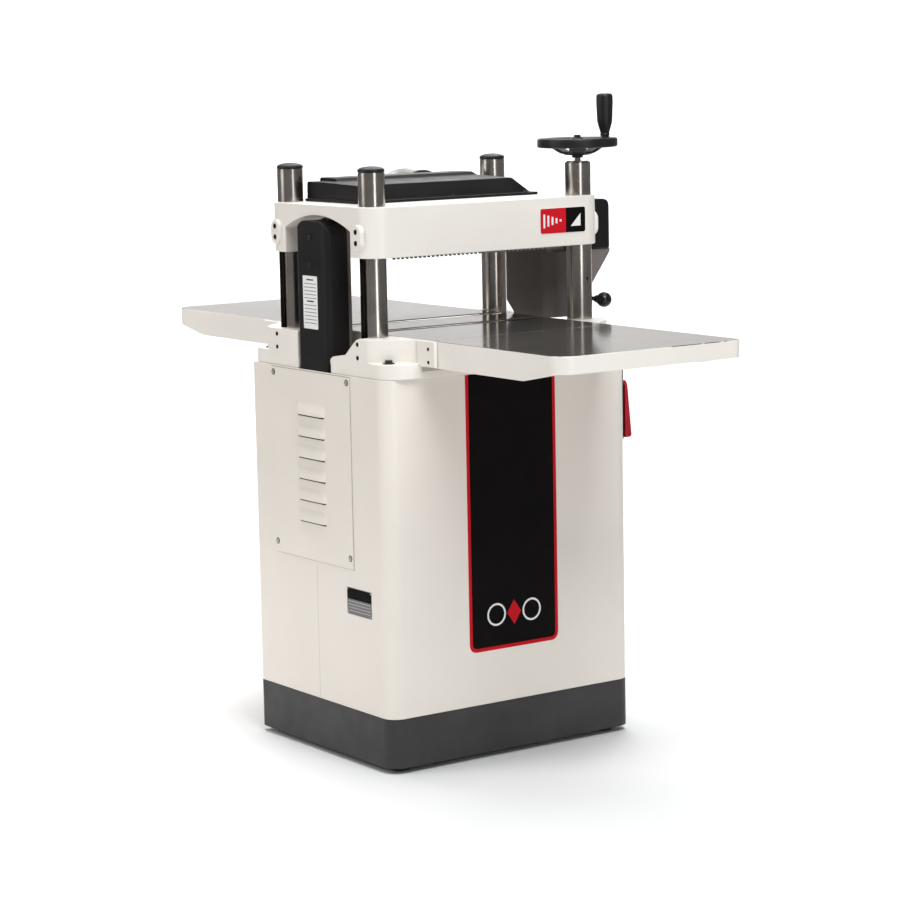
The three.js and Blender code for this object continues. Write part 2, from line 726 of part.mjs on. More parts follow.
function handle() {
  const [low, high] = HANDLE_Z;
  const bore = 4;
  const boreTop = high - 12;
  const lower = raised(low, [[8.6, 0], [8.6, 2.5], [7.7, 4.5], [12.9, 22], [13.6, 27]]);
  const upper = raised(high, [[15, -12], [14, -3], [10, 0], [0, 0]]);
  const profile = [[bore, low], ...lower, ...upper, [0, boreTop], [bore, boreTop], [bore, low]];
  const x = COLUMN_X + HANDLE_OFFSET * Math.cos(HANDLE_ANGLE);
  const y = -COLUMN_Y + HANDLE_OFFSET * Math.sin(HANDLE_ANGLE);
  return turnedZ([x, y], profile, 20);
}

// ---- head ----
function archOutline() {
  const rise = ARCH_CROWN - ARCH_SPRING;
  const radius = (ARCH_Y * ARCH_Y + rise * rise) / (2 * rise);
  const half = Math.asin(ARCH_Y / radius);
  const shape = new THREE.Shape();
  shape.moveTo(-ARCH_Y, HEAD_BOTTOM - 1);
  shape.lineTo(ARCH_Y, HEAD_BOTTOM - 1);
  shape.absarc(0, ARCH_CROWN - radius, radius, Math.PI / 2 - half, Math.PI / 2 + half, false);
  shape.lineTo(-ARCH_Y, HEAD_BOTTOM - 1);
  return shape;
}

// A raised pad with round ends, where the lead nut is held.
function nutPad(sx, sy) {
  const [half, tall] = [14.5, 21.5];
  const y = sy * COLUMN_Y;
  const shape = roundedRectangle([y - half, y + half], [PAD_Z - tall, PAD_Z + tall], [half, half, half, half]);
  const x = [sx * (HEAD_X - 3), sx * PAD_FACE].sort((a, b) => a - b);
  return prismX(shape, x, 4);
}

function headCasting() {
  const corners = [HEAD_CORNER, HEAD_CORNER, HEAD_CORNER, HEAD_CORNER];
  const plan = roundedRectangle([-HEAD_X, HEAD_X], [-HEAD_Y, HEAD_Y], corners);
  const block = prismZ(plan, [HEAD_BOTTOM, HEAD_TOP]);
  const [beam, roof] = [12, 14];
  const wall = HEAD_Y - beam;
  const cavity = box([-CAVITY_X, CAVITY_X], [-wall, wall], [HEAD_BOTTOM - 1, HEAD_TOP - roof]);
  const topOpening = box(
    [-CAVITY_X + 2, CAVITY_X - 12],
    [HOOD_FRONT + 18, HOOD_REAR - 10],
    [CUTTER_Z, HEAD_TOP + 1],
  );
  const recess = CAVITY_X + BEARING_WALL;
  const beyond = HEAD_X + 51;
  const arches = [[-beyond, -recess], [recess, beyond]].map((x) => prismX(archOutline(), x, 8));
  const columnBores = CORNERS.map(([, sx, sy]) =>
    barZ([sx * COLUMN_X, sy * COLUMN_Y], COLUMN_RADIUS + 0.8, [HEAD_BOTTOM - 1, HEAD_TOP + 1]));
  const rollerBore = ROLLER_SHAFT + 2;
  const throughHead = [-HEAD_X + 19, HEAD_X - 19];
  const shaftBores = [
    barX([0, CUTTER_Z], SHAFT_BORE, throughHead, 16),
    barX([-ROLLER_Y, ROLLER_Z], rollerBore, throughHead, 16),
    barX([ROLLER_Y, ROLLER_Z], rollerBore, throughHead, 16),
  ];
  const pads = CORNERS.map(([, sx, sy]) => nutPad(sx, sy));
  const body = join(cut(block, cavity, topOpening, ...arches, ...shaftBores), ...pads);
  return cut(body, ...columnBores);
}

// The hood's cross-section, with its rear part raised by the step.
function hoodProfile(inset, step) {
  return outline([
    [HOOD_FRONT + 8 + inset, HEAD_TOP + GAP],
    [HOOD_FRONT + 12 + inset, HEAD_TOP + 8],
    [HOOD_FRONT + 20 + inset, HOOD_TOP - 3 - inset],
    [HOOD_STEP_Y[0] + inset, HOOD_TOP - inset],
    [HOOD_STEP_Y[1] + inset, HOOD_TOP + step - inset],
    [HOOD_REAR - 2 - inset, HOOD_TOP + step - inset],
    [HOOD_REAR - inset, HOOD_TOP + step - 5 - inset],
    [HOOD_REAR - inset, HEAD_TOP + GAP],
  ]);
}

// The hood as a solid block, smaller all round by the inset.
function hoodBlock(inset) {
  const start = HOOD_X[0] + 5 + inset;
  const [slopeFoot, slopeTop] = [HOOD_X[1] - HOOD_SLOPE_FOOT - inset, HOOD_X[1] - HOOD_SLOPE_TOP - inset];
  const above = HOOD_TOP + HOOD_STEP + 1;
  const slope = outline([
    [slopeFoot, HEAD_TOP - 1],
    [slopeFoot, HEAD_TOP + 4],
    [slopeTop, above],
    [HOOD_X[1] + 20, above],
    [HOOD_X[1] + 20, HEAD_TOP - 1],
  ]);
  const whole = join(
    prismX(hoodProfile(inset, 0), [start, HOOD_X[1]]),
    prismX(hoodProfile(inset, HOOD_STEP), [start + HOOD_STEP_START, HOOD_X[1]]),
  );
  return cut(whole, prismY(slope, [HOOD_FRONT - 5, HOOD_REAR + 5]));
}

// The hood over the cutter: a low cover on a flange, upright at the belt end, sloped at the gear end.
function hood() {
  const rim = roundedRectangle(HOOD_X, [HOOD_FRONT, HOOD_REAR], [6, 6, 0, 0]);
  const insideX = [HOOD_X[0] + 9, HOOD_X[1] - 24];
  const insideY = [HOOD_FRONT + 14, HOOD_REAR - SHEET];
  const rimHole = box(insideX, insideY, [HEAD_TOP - 1, HEAD_TOP + 12]);
  const flange = cut(prismZ(rim, [HEAD_TOP + GAP, HEAD_TOP + 5]), rimHole);
  const below = box(insideX, insideY, [HEAD_TOP - 1, HEAD_TOP + 2]);
  const outletHalf = CHUTE_HALF - 5;
  const outlet = box([DUST_X - outletHalf, DUST_X + outletHalf], [HOOD_REAR - 10, HOOD_REAR + 5], [971, 998]);
  return cut(join(hoodBlock(0), flange), hoodBlock(SHEET), below, outlet);
}

// The duct over the rear beam, from the hood to the dust port.
function dustChute() {
  const y = [HOOD_REAR + GAP, DUST_START - GAP];
  const innerHalf = CHUTE_HALF - CHUTE_WALL;
  const top = HOOD_TOP + CHUTE_WALL;
  const outerX = [DUST_X - CHUTE_HALF, DUST_X + CHUTE_HALF];
  const innerX = [DUST_X - innerHalf, DUST_X + innerHalf];
  const outer = roundedRectangle(outerX, [HEAD_TOP + GAP, top], [2, 2, 8, 8]);
  const inner = roundedRectangle(innerX, [HEAD_TOP + CHUTE_WALL, HOOD_TOP], [2, 2, 6, 6]);
  return cut(prismY(outer, y, 4), prismY(inner, [y[0] - 1, y[1] + 1], 4));
}

function dustPort() {
  const wall = 2;
  const drum = barY([DUST_X, DUST_Z], DUST_RADIUS, [DUST_START, DUST_END], 36);
  const bore = barY([DUST_X, DUST_Z], DUST_RADIUS - wall, [DUST_START + wall, DUST_END + 1], 36);
  const inletX = [DUST_X - DUST_INLET_HALF, DUST_X + DUST_INLET_HALF];
  const inlet = box(inletX, [DUST_START - 1, DUST_START + 5], DUST_INLET_Z);
  return cut(drum, bore, inlet);
}

function beltGuard() {
  const [y0, y1] = GUARD_Y;
  const [z0, z1] = GUARD_Z;
  const [topCorner, rearChamfer] = [28, 6];
  const face = (inset, low) => {
    const corner = topCorner - inset;
    return roundedRectangle([y0 + inset, y1 - inset], [low, z1 - inset], [0, 0, corner, corner]);
  };
  const plan = (inset) => {
    const [shallow, deep] = GUARD_CHAMFER;
    const side = GUARD_X[0] + inset;
    const beyond = GUARD_X[1] + 20;
    return outline([
      [side, y0 + deep],
      [side + 0.28 * shallow, y0 + inset + 0.35 * deep],
      [side + shallow, y0 + inset],
      [beyond, y0 + inset],
      [beyond, y1 - inset],
      [side + rearChamfer, y1 - inset],
      [side, y1 - inset - rearChamfer],
    ]);
  };
  const outer = overlapOf(prismX(face(0, z0), GUARD_X, 6), prismZ(plan(0), [z0, z1], 6));
  const deep = [GUARD_X[0] + SHEET, GUARD_X[1] + 1];
  const inner = overlapOf(prismX(face(SHEET, z0 - 1), deep, 6), prismZ(plan(SHEET), [z0 - 1, z1], 6));
  return cut(outer, inner);
}

// The plate that hangs the motor from the head, behind the belt guard.
function motorHanger() {
  const x = [GUARD_X[1] + GAP, HANGER_X];
  const through = [x[0] - 10, x[1] + 10];
  const shape = roundedRectangle([GUARD_Y[0] + 2, GUARD_Y[1] - 2], HANGER_Z, [12, 12, 20, 20]);
  const cutterBore = barX([0, CUTTER_Z], SHAFT_BORE, through, 16);
  const motorBore = barX([MOTOR_Y, MOTOR_Z], 16, through, 16);
  return cut(prismX(shape, x, 4), cutterBore, motorBore);
}

function motor() {
  const [start, end] = MOTOR_X;
  const fanCover = MOTOR_RADIUS - 6;
  const body = turnedX([MOTOR_Y, MOTOR_Z], [
    [0, start],
    [MOTOR_RADIUS - 12, start],
    [MOTOR_RADIUS, start + 8],
    [MOTOR_RADIUS, end - 38],
    [fanCover, end - 34],
    [fanCover, end - 8],
    [fanCover - 12, end],
    [0, end],
  ]);
  const terminalHalf = 35;
  const terminalZ = [MOTOR_Z - terminalHalf, MOTOR_Z + terminalHalf];
  return join(body, box([-120, -30], [MOTOR_Y + 60, MOTOR_Y + 112], terminalZ));
}

// A pulley with its shaft.
function pulleyProfile(radius, shaft, [inner, outer]) {
  const [x0, x1] = PULLEY_X;
  const rim = radius - 4.2;
  return [
    [0, outer],
    [shaft, outer],
    [shaft, x0],
    [rim, x0],
    [rim, x1],
    [shaft, x1],
    [shaft, inner],
    [0, inner],
  ];
}

function cutterhead() {
  const half = WORKING_HALF - 4;
  const body = barX([0, CUTTER_Z], CUTTER_RADIUS - 3, [-half, half]);
  const leftShaft = barX([0, CUTTER_Z], SHAFT_RADIUS, [PULLEY_X[1] + GAP, -half + 1], 16);
  const rightShaft = barX([0, CUTTER_Z], SHAFT_RADIUS, [half - 1, SHAFT_END], 16);
  const knives = [];
  const rows = 4;
  for (let i = 0; i < rows; i += 1) {
    const knife = box([-half + 3, half - 3], [-3, 3], [CUTTER_RADIUS - 8, CUTTER_RADIUS - 0.6]);
    knives.push(knife.rotateX((i * 2 * Math.PI) / rows + Math.PI / 4).translate(0, 0, CUTTER_Z));
  }
  return join(body, leftShaft, rightShaft, ...knives);
}

function cutterheadPulley() {
  return turnedX([0, CUTTER_Z], pulleyProfile(CUTTER_PULLEY, 10, [PULLEY_X[1], PULLEY_X[0] - 2]), 20);
}

function motorPulley() {
  return turnedX([MOTOR_Y, MOTOR_Z], pulleyProfile(MOTOR_PULLEY, 12, [-204.6, PULLEY_X[0] - 4]), 20);
}

function driveBelt() {
  const circles = [
    { x: 0, y: CUTTER_Z, r: CUTTER_PULLEY, turn: 1 },
    { x: MOTOR_Y, y: MOTOR_Z, r: MOTOR_PULLEY, turn: 1 },
  ];
  return prismX(loopBand(circles, 3.5, 12), [PULLEY_X[0] + 1, PULLEY_X[1] - 1]);
}

// A feed roller along X, with teeth cut along it when it is the serrated one.
function feedRoller(y, serrated) {
  const half = WORKING_HALF - 2;
  const [teeth, toothDepth] = [24, 2.2];
  const shape = new THREE.Shape();
  for (let i = 0; i < teeth * 2; i += 1) {
    const r = serrated && i % 2 === 1 ? ROLLER_RADIUS - toothDepth : ROLLER_RADIUS;
    const angle = (i * Math.PI) / teeth;
    const [py, pz] = [y + r * Math.cos(angle), ROLLER_Z + r * Math.sin(angle)];
    if (i === 0) {
      shape.moveTo(py, pz);
    } else {
      shape.lineTo(py, pz);
    }
  }
  return join(prismX(shape, [-half, half]), barX([y, ROLLER_Z], ROLLER_SHAFT, [-SHAFT_END, SHAFT_END], 16));
}

// Anti-kickback fingers: a rod with a row of hanging teeth, leaning in the feed direction.
function kickbackFingers() {
  const pivot = [-132, 920];
  const lean = THREE.MathUtils.degToRad(11);
  const long = 48.5;
  const rodRadius = 4;
  const toothWidth = 6;
  const endMargin = 8;
  const along = (distance, side) => [
    pivot[0] + distance * Math.sin(lean) + side * Math.cos(lean),
    pivot[1] - distance * Math.cos(lean) + side * Math.sin(lean),
  ];
  const tooth = outline([along(long, -5), along(long - 9, 6), along(-5, 5), along(-5, -5)]);
  const pieces = [barX(pivot, rodRadius, [-WORKING_HALF + 1, WORKING_HALF - 1], 6)];
  const count = 40;
  const pitch = (2 * WORKING_HALF - 2 * endMargin) / (count - 1);
  for (let i = 0; i < count; i += 1) {
    const x = -WORKING_HALF + endMargin + i * pitch;
    pieces.push(prismX(tooth, [x - toothWidth / 2, x + toothWidth / 2]));
  }
  return join(...pieces);
}

function chipBreaker() {
  const plate = outline([[-53, 946], [-47, 946], [-48.5, 887], [-43, 876], [-52, 875], [-53, 885]]);
  return prismX(plate, [-WORKING_HALF + 1, WORKING_HALF - 1]);
}

function pressureBar() {
  const plate = outline([[43, 898], [53, 898], [53, 873.5], [47, 872.5], [43, 875.5]]);
  return prismX(plate, [-WORKING_HALF + 1, WORKING_HALF - 1]);
}

// The gear case hangs beside the head and goes down between the casting's feet.
function gearCase() {
  const side = outline([
    [CASE_X, CASE_BOTTOM],
    [CASE_SIDE[0], CASE_BOTTOM],
    [CASE_SIDE[1], CASE_FLANK_Z[0]],
    [CASE_SIDE[1], CASE_FLANK_Z[1]],
    [COVER_OUTER, CASE_FLANK_Z[2]],
    [COVER_OUTER, COVER_BOTTOM - GAP],
    [CASE_X, COVER_BOTTOM - GAP],
  ]);
  const block = prismY(side, CASE_Y);
  const plan = roundedRectangle([CASE_X, COVER_OUTER], CASE_Y, [24, 6, 6, 6]);
  const rounded = overlapOf(block, prismZ(plan, [CASE_BOTTOM, COVER_BOTTOM]));
  const upper = box([CASE_X, HEAD_X - 2], [CASE_Y[0] + 4, CASE_Y[1]], [COVER_BOTTOM - 1, ARCH_SPRING - 2]);
  const bevelY = CASE_Y[1] - 24;
  const rearBevel = outline([
    [bevelY, CASE_BOTTOM - 1],
    [bevelY, CASE_BOTTOM + 5],
    [CASE_Y[1] + 1, CASE_BOTTOM + 29],
    [CASE_Y[1] + 15, CASE_BOTTOM - 1],
  ]);
  const boreEnd = KNOB_STEM_END + SHIFT_TRAVEL + 2;
  const stemBore = barY([KNOB_X, KNOB_Z], KNOB_STEM + GAP, [CASE_Y[0] - 1, boreEnd], 12);
  return cut(join(rounded, upper), prismX(rearBevel, [CASE_X - 1, COVER_OUTER + 1]), stemBore);
}

function gearCover() {
  const inner = HEAD_X + 2;
  const shape = new THREE.Shape();
  shape.moveTo(inner, COVER_BOTTOM);
  shape.lineTo(COVER_OUTER, COVER_BOTTOM);
  shape.lineTo(COVER_OUTER - 2, COVER_TOP - 20);
  shape.quadraticCurveTo(COVER_OUTER - 4, COVER_TOP, COVER_OUTER - 22, COVER_TOP);
  shape.lineTo(inner, COVER_TOP);
  const y = [CASE_Y[0] - 4, CASE_Y[1] + 4];
  const plan = roundedRectangle([inner, COVER_OUTER], y, [2, 14, 14, 2]);
  return overlapOf(prismY(shape, y, 6), prismZ(plan, [COVER_BOTTOM, COVER_TOP], 6));
}

function shiftKnob() {
  const ball = new THREE.SphereGeometry(KNOB_RADIUS, 14, 9).translate(KNOB_X, KNOB_Y, KNOB_Z);
  const stem = barY([KNOB_X, KNOB_Z], KNOB_STEM, [KNOB_Y, KNOB_STEM_END], 12);
  const collarRadius = 7.5;
  const collar = barY([KNOB_X, KNOB_Z], collarRadius, [KNOB_Y + 10, KNOB_Y + 24], 12);
  return join(ball, stem, collar);
}

// ---- switch on the right side of the cabinet ----
function switchBox() {
  const x = [CABINET_X + GAP, SWITCH_FACE];
  const shape = roundedRectangle(SWITCH_Y, SWITCH_Z, [5, 5, 5, 5]);
  const buttonWell = barX(BUTTON_AT, BUTTON_RADIUS + 0.5, [SWITCH_FACE - 8, SWITCH_FACE + 1]);
  return cut(prismX(shape, x), buttonWell);
}

// A wedge hung at its top edge, where a lug reaches back to the box.
function stopPaddle() {
  const [low, high] = PADDLE_Z;
  const shape = outline([
    [PADDLE_BACK, low],
    [PADDLE_BACK + 12, low],
    [PADDLE_BACK + 14.5, low + 4],
    [PADDLE_BACK + 6, high - 9],
    [PADDLE_BACK + 3, high - 2],
    [PADDLE_BACK, high],
    [SWITCH_FACE + GAP, high],
    [SWITCH_FACE + GAP, high - 6],
    [PADDLE_BACK, high - 8],
  ]);
  return prismY(shape, [SWITCH_Y[0] + 1, SWITCH_Y[1] - 1]);
}

function startButton() {
  return barX(BUTTON_AT, BUTTON_RADIUS, [SWITCH_FACE - 4, SWITCH_FACE + 5]);
}

function cableGland() {
  const y = [CABINET_Y + GAP, CABINET_Y + 16];
  const [outer, bore] = [11, 4.5];
  return cut(barY(GLAND_AT, outer, y, 6), barY(GLAND_AT, bore, [y[0] - 1, y[1] + 1], 16));
}

// ---- assembly ----
CORNERS.forEach(([tag, sx, sy]) => place(`foot_${tag}`, foot(sx * FOOT_X, sy * FOOT_Y), RUBBER));
place('plinth', plinth(), DARK_GREY);
place('cabinet_shell', cabinetShell(), CREAM);
place('louvre_panel', louvrePanel(), CREAM);
place('rear_panel', rearPanel(), CREAM);
place('base_casting', baseCasting(), CREAM);
place('main_table', mainTable(), CAST_TABLE);
place('infeed_wing', wing(), CREAM);
place('outfeed_wing', mirrorY(wing()), CREAM);
CORNERS.forEach(([tag, sx, sy]) => place(`column_${tag}`, column(sx, sy), GROUND_STEEL));
CORNERS.filter(([tag]) => tag !== 'rf')
  .forEach(([tag, sx, sy]) => place(`column_cap_${tag}`, columnCap(sx, sy), BLACK));
place('column_bushing', topBushing(), CUT_STEEL);
place('elevation_chain', elevationChain(), CUT_STEEL);
place('chain_idler', chainIdler(), CUT_STEEL);
CORNERS.forEach(([tag, sx, sy]) => {
  const shoulder = COLUMN_TOP - 16;
  const top = tag === 'rf' ? WHEEL_Z[1] - 2 : shoulder + 2;
  place(`lead_screw_${tag}`, leadScrew(sx, sy, shoulder, top), CUT_STEEL);
});
place('handwheel', handwheel(), BLACK);
place('handle', handle(), BLACK);
place('bed_roller_front', bedRoller(-BED_ROLLER_Y), GROUND_STEEL);
place('bed_roller_rear', bedRoller(BED_ROLLER_Y), GROUND_STEEL);
place('switch_box', switchBox(), BLACK);
place('stop_paddle', stopPaddle(), RED);
place('start_button', startButton(), GREEN);
place('cable_gland', cableGland(), BLACK);

place('head_casting', headCasting(), CREAM);
CORNERS.forEach(([tag, sx, sy]) => place(`lead_nut_${tag}`, leadNut(sx, sy), BRONZE));
place('hood', hood(), BLACK);
place('dust_chute', dustChute(), BLACK);
place('dust_port', dustPort(), GREY_METAL);
place('belt_guard', beltGuard(), BLACK);
place('motor_hanger', motorHanger(), DARK_GREY);
place('motor', motor(), MOTOR_GREY);
place('drive_belt', driveBelt(), RUBBER);
place('chip_breaker', chipBreaker(), CUT_STEEL);
place('pressure_bar', pressureBar(), CUT_STEEL);
place('gear_case', gearCase(), DARK_GREY);
place('gear_cover', gearCover(), BLACK);
place('cutterhead', cutterhead(), CUT_STEEL);
place('cutterhead_pulley', cutterheadPulley(), CUT_STEEL);
place('motor_pulley', motorPulley(), CUT_STEEL);
place('infeed_roller', feedRoller(-ROLLER_Y, true), CUT_STEEL);
place('outfeed_roller', feedRoller(ROLLER_Y, false), CUT_STEEL);
place('kickback_fingers', kickbackFingers(), CUT_STEEL);
place('shift_knob', shiftKnob(), BLACK);

// The origin goes to the middle of the bounding box, on the floor.
const bounds = new THREE.Box3().setFromObject(machine);
machine.position.x = -(bounds.min.x + bounds.max.x) / 2;

export default machine;
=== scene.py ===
"""A fifteen-inch four-post thickness planer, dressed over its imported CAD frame. Lengths are in metres."""
import math

import bmesh
import bpy
from mathutils import Matrix, Vector
from mathutils.bvhtree import BVHTree
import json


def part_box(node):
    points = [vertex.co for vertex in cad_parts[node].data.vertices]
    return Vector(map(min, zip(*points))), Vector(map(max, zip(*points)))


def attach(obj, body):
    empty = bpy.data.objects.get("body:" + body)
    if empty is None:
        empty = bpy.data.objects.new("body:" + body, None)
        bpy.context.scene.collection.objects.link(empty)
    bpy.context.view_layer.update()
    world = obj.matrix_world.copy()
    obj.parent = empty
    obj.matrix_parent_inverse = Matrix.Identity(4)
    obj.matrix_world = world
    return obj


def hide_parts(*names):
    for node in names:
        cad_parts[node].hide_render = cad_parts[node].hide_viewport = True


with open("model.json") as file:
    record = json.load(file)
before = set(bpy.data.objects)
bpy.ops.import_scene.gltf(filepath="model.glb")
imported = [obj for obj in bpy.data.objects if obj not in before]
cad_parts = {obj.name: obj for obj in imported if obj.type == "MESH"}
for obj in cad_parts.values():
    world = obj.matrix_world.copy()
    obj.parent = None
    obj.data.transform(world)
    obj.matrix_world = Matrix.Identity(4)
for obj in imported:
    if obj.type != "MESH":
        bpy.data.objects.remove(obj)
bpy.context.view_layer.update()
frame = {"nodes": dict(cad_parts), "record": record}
RECORD = frame["record"]
BODY_OF = {node: body for body, nodes in RECORD["behaviour"]["bodies"].items() for node in nodes}
MM = 0.001
PROUD = 0.25 * MM                 # how far a printed plate stands off the paint
SHARP = math.radians(35)          # faces that meet at more than this show an edge
CORNERS = {"lf": (-1, -1), "rf": (1, -1), "lr": (-1, 1), "rr": (1, 1)}


# ---- places, read from the frame ----
def low(node):
    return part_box(node)[0]


def high(node):
    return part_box(node)[1]


def middle(node):
    corner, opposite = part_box(node)
    return (corner + opposite) / 2


def radius_of(node, *axes):
    """Half the node's size along the given axis, or the least of several."""
    return min(high(node)[i] - low(node)[i] for i in axes) / 2


CENTRE_X = middle("head_casting").x
SIDE_X = low("cabinet_shell").x           # the cabinet's left face
FRONT_Y = low("cabinet_shell").y
LEDGE_TOP = low("main_table").z
COLUMN_TOP = high("column_lf").z
SLOT_BOTTOM = 712 * MM            # the columns' slots, which the lead nuts reach through
SLOT_TOP = 960 * MM
CAP_SEAT = COLUMN_TOP + 0.3 * MM
COLUMN_RADIUS = radius_of("column_lf", 1)
COLUMN_X = middle("lead_screw_rf").x - CENTRE_X
COLUMN_Y = middle("lead_screw_rr").y


def column_at(tag):
    side, end = CORNERS[tag]
    return (CENTRE_X + side * COLUMN_X, end * COLUMN_Y)


# ---- materials: colour, gloss and bump come from noise in the row frame ----
class Finish:
    def __init__(self, name, metallic=0.0, **sockets):
        self.material = bpy.data.materials.new(name)
        self.material.use_nodes = True
        self.nodes = self.material.node_tree.nodes
        self.links = self.material.node_tree.links
        self.shader = self.nodes["Principled BSDF"]
        self.shader.inputs["Metallic"].default_value = metallic
        for socket, value in sockets.items():
            self.shader.inputs[socket.replace("_", " ")].default_value = value
        self.place = self.nodes.new("ShaderNodeTexCoord").outputs["Object"]
        self.normal = None

    def noise(self, scale, stretch=(1, 1, 1), detail=2.0, roughness=0.5):
        mapping = self.nodes.new("ShaderNodeMapping")
        mapping.inputs["Scale"].default_value = stretch
        self.links.new(self.place, mapping.inputs["Vector"])
        texture = self.nodes.new("ShaderNodeTexNoise")
        texture.inputs["Scale"].default_value = scale
        texture.inputs["Detail"].default_value = detail
        texture.inputs["Roughness"].default_value = roughness
        self.links.new(mapping.outputs["Vector"], texture.inputs["Vector"])
        return texture.outputs["Fac"]

    def colour(self, factor, dark, light):
        ramp = self.nodes.new("ShaderNodeValToRGB")
        ramp.color_ramp.elements[0].position = 0.35
        ramp.color_ramp.elements[0].color = (*dark, 1)
        ramp.color_ramp.elements[1].position = 0.65
        ramp.color_ramp.elements[1].color = (*light, 1)
        self.links.new(factor, ramp.inputs["Fac"])
        self.links.new(ramp.outputs["Color"], self.shader.inputs["Base Color"])

    def gloss(self, factor, least, most):
        spread = self.nodes.new("ShaderNodeMapRange")
        spread.inputs["From Min"].default_value = 0.3
        spread.inputs["From Max"].default_value = 0.7
        spread.inputs["To Min"].default_value = least
        spread.inputs["To Max"].default_value = most
        self.links.new(factor, spread.inputs["Value"])
        self.links.new(spread.outputs["Result"], self.shader.inputs["Roughness"])

    def bump(self, height, depth, strength):
        bump = self.nodes.new("ShaderNodeBump")
        bump.inputs["Strength"].default_value = strength
        bump.inputs["Distance"].default_value = depth
        self.links.new(height, bump.inputs["Height"])
        if self.normal:
            self.links.new(self.normal, bump.inputs["Normal"])
        self.normal = bump.outputs["Normal"]
        self.links.new(self.normal, self.shader.inputs["Normal"])


def enamel(name, dark, light, gloss=(0.3, 0.42), peel=0.05 * MM):
    """Sprayed paint on sheet metal, with a fine orange peel."""
    finish = Finish(name, Coat_Weight=0.2, Coat_Roughness=0.2)
    finish.colour(finish.noise(5, detail=3), dark, light)
    finish.gloss(finish.noise(22, detail=4), *gloss)
    finish.bump(finish.noise(420, detail=1), peel, 0.35)
    return finish


def cast_paint(name, dark, light):
    """The same paint on a sand casting, whose skin shows through it."""
    finish = enamel(name, dark, light, (0.36, 0.5), 0.08 * MM)
    finish.bump(finish.noise(60, detail=4, roughness=0.6), 0.5 * MM, 0.3)
    return finish.material


def powder_coat(name, dark, light, gloss=(0.42, 0.55), grain=0.12 * MM, shine=0.3):
    """Fine-textured coating on sheet metal."""
    finish = Finish(name, Specular_IOR_Level=shine)
    finish.colour(finish.noise(9, detail=4), dark, light)
    finish.gloss(finish.noise(30, detail=3), *gloss)
    finish.bump(finish.noise(1100, detail=2), grain, 0.35)
    return finish.material


def moulded(name, dark, light, gloss=(0.32, 0.45), grain=0.05 * MM, shine=0.35):
    """Moulded plastic with a slight grain."""
    finish = Finish(name, Specular_IOR_Level=shine)
    finish.colour(finish.noise(35, detail=2), dark, light)
    finish.gloss(finish.noise(60, detail=3), *gloss)
    finish.bump(finish.noise(1500, detail=2), grain, 0.3)
    return finish.material


def worked_metal(name, dark, light, gloss, stretch, scale, metallic=1.0, **more):
    """Ground or turned metal: the tool's fine lines run across the stretched direction."""
    finish = Finish(name, metallic=metallic, **more)
    lines = finish.noise(scale, stretch, detail=3, roughness=0.6)
    finish.colour(finish.noise(18, detail=5, roughness=0.6), dark, light)
    finish.gloss(lines, *gloss)
    finish.bump(lines, 0.01 * MM, 0.5)
    return finish.material


def printed(name, dark, light):
    """A printed film, smooth and almost without shine."""
    finish = Finish(name, Specular_IOR_Level=0.03)
    finish.colour(finish.noise(12, detail=3), dark, light)
    finish.gloss(finish.noise(40, detail=3), 0.4, 0.55)
    finish.bump(finish.noise(700, detail=1), 0.02 * MM, 0.3)
    return finish.material


def two_tone(value, spread):
    """A dark and a light shade around one colour."""
    return [tuple(max(0.0, channel * (1 + sign * spread)) for channel in value) for sign in (-1, 1)]


CREAM = enamel("cream_enamel", *two_tone((0.78, 0.722, 0.66), 0.015)).material
CREAM_CAST = cast_paint("cream_cast_paint", *two_tone((0.80, 0.755, 0.70), 0.02))
PLINTH_GREY = powder_coat("plinth_grey", *two_tone((0.040, 0.038, 0.038), 0.12))
BLACK_COAT = powder_coat("black_coat", *two_tone((0.014, 0.013, 0.0135), 0.15),
                         gloss=(0.36, 0.48), shine=0.14)
CAST_GREY = powder_coat("cast_grey", *two_tone((0.18, 0.158, 0.148), 0.12), grain=0.3 * MM)
BLACK_PLASTIC = moulded("black_plastic", *two_tone((0.012, 0.012, 0.012), 0.2), shine=0.25)
GLOSS_BLACK = moulded("gloss_black", *two_tone((0.01, 0.01, 0.01), 0.2), gloss=(0.12, 0.2), grain=0.01 * MM)
RUBBER = moulded("rubber", *two_tone((0.016, 0.016, 0.016), 0.25), gloss=(0.7, 0.85), grain=0.15 * MM)
RED_PLASTIC = moulded("red_plastic", *two_tone((0.36, 0.008, 0.018), 0.08), gloss=(0.15, 0.24), shine=0.5)
GREEN_PLASTIC = moulded("green_plastic", *two_tone((0.01, 0.19, 0.05), 0.08), gloss=(0.25, 0.35))
MOTOR_PAINT = powder_coat("motor_paint", *two_tone((0.09, 0.095, 0.1), 0.1), grain=0.25 * MM)
GROUND_STEEL = worked_metal(
    "ground_steel", (0.40, 0.37, 0.34), (0.50, 0.465, 0.43), (0.16, 0.26), (1, 1, 14), 160)
GROUND_IRON = worked_metal(
    "ground_iron", (0.34, 0.32, 0.30), (0.42, 0.395, 0.37), (0.09, 0.16), (10, 1, 1), 120, metallic=0.85,
    Specular_Tint=(0.36, 0.345, 0.335, 1))
CUT_STEEL = worked_metal(
    "cut_steel", (0.16, 0.15, 0.14), (0.27, 0.255, 0.24), (0.3, 0.45), (1, 1, 1), 300)
TURNED_STEEL = worked_metal(
    "turned_steel", (0.24, 0.225, 0.21), (0.33, 0.31, 0.29), (0.24, 0.36), (12, 1, 1), 200)
BRONZE = worked_metal(
    "bronze", (0.30, 0.17, 0.06), (0.42, 0.26, 0.10), (0.3, 0.42), (1, 1, 8), 200)
BLACK_OXIDE = worked_metal(
    "black_oxide", (0.008, 0.008, 0.008), (0.016, 0.015, 0.015), (0.42, 0.55), (1, 1, 1), 500, metallic=0.0)
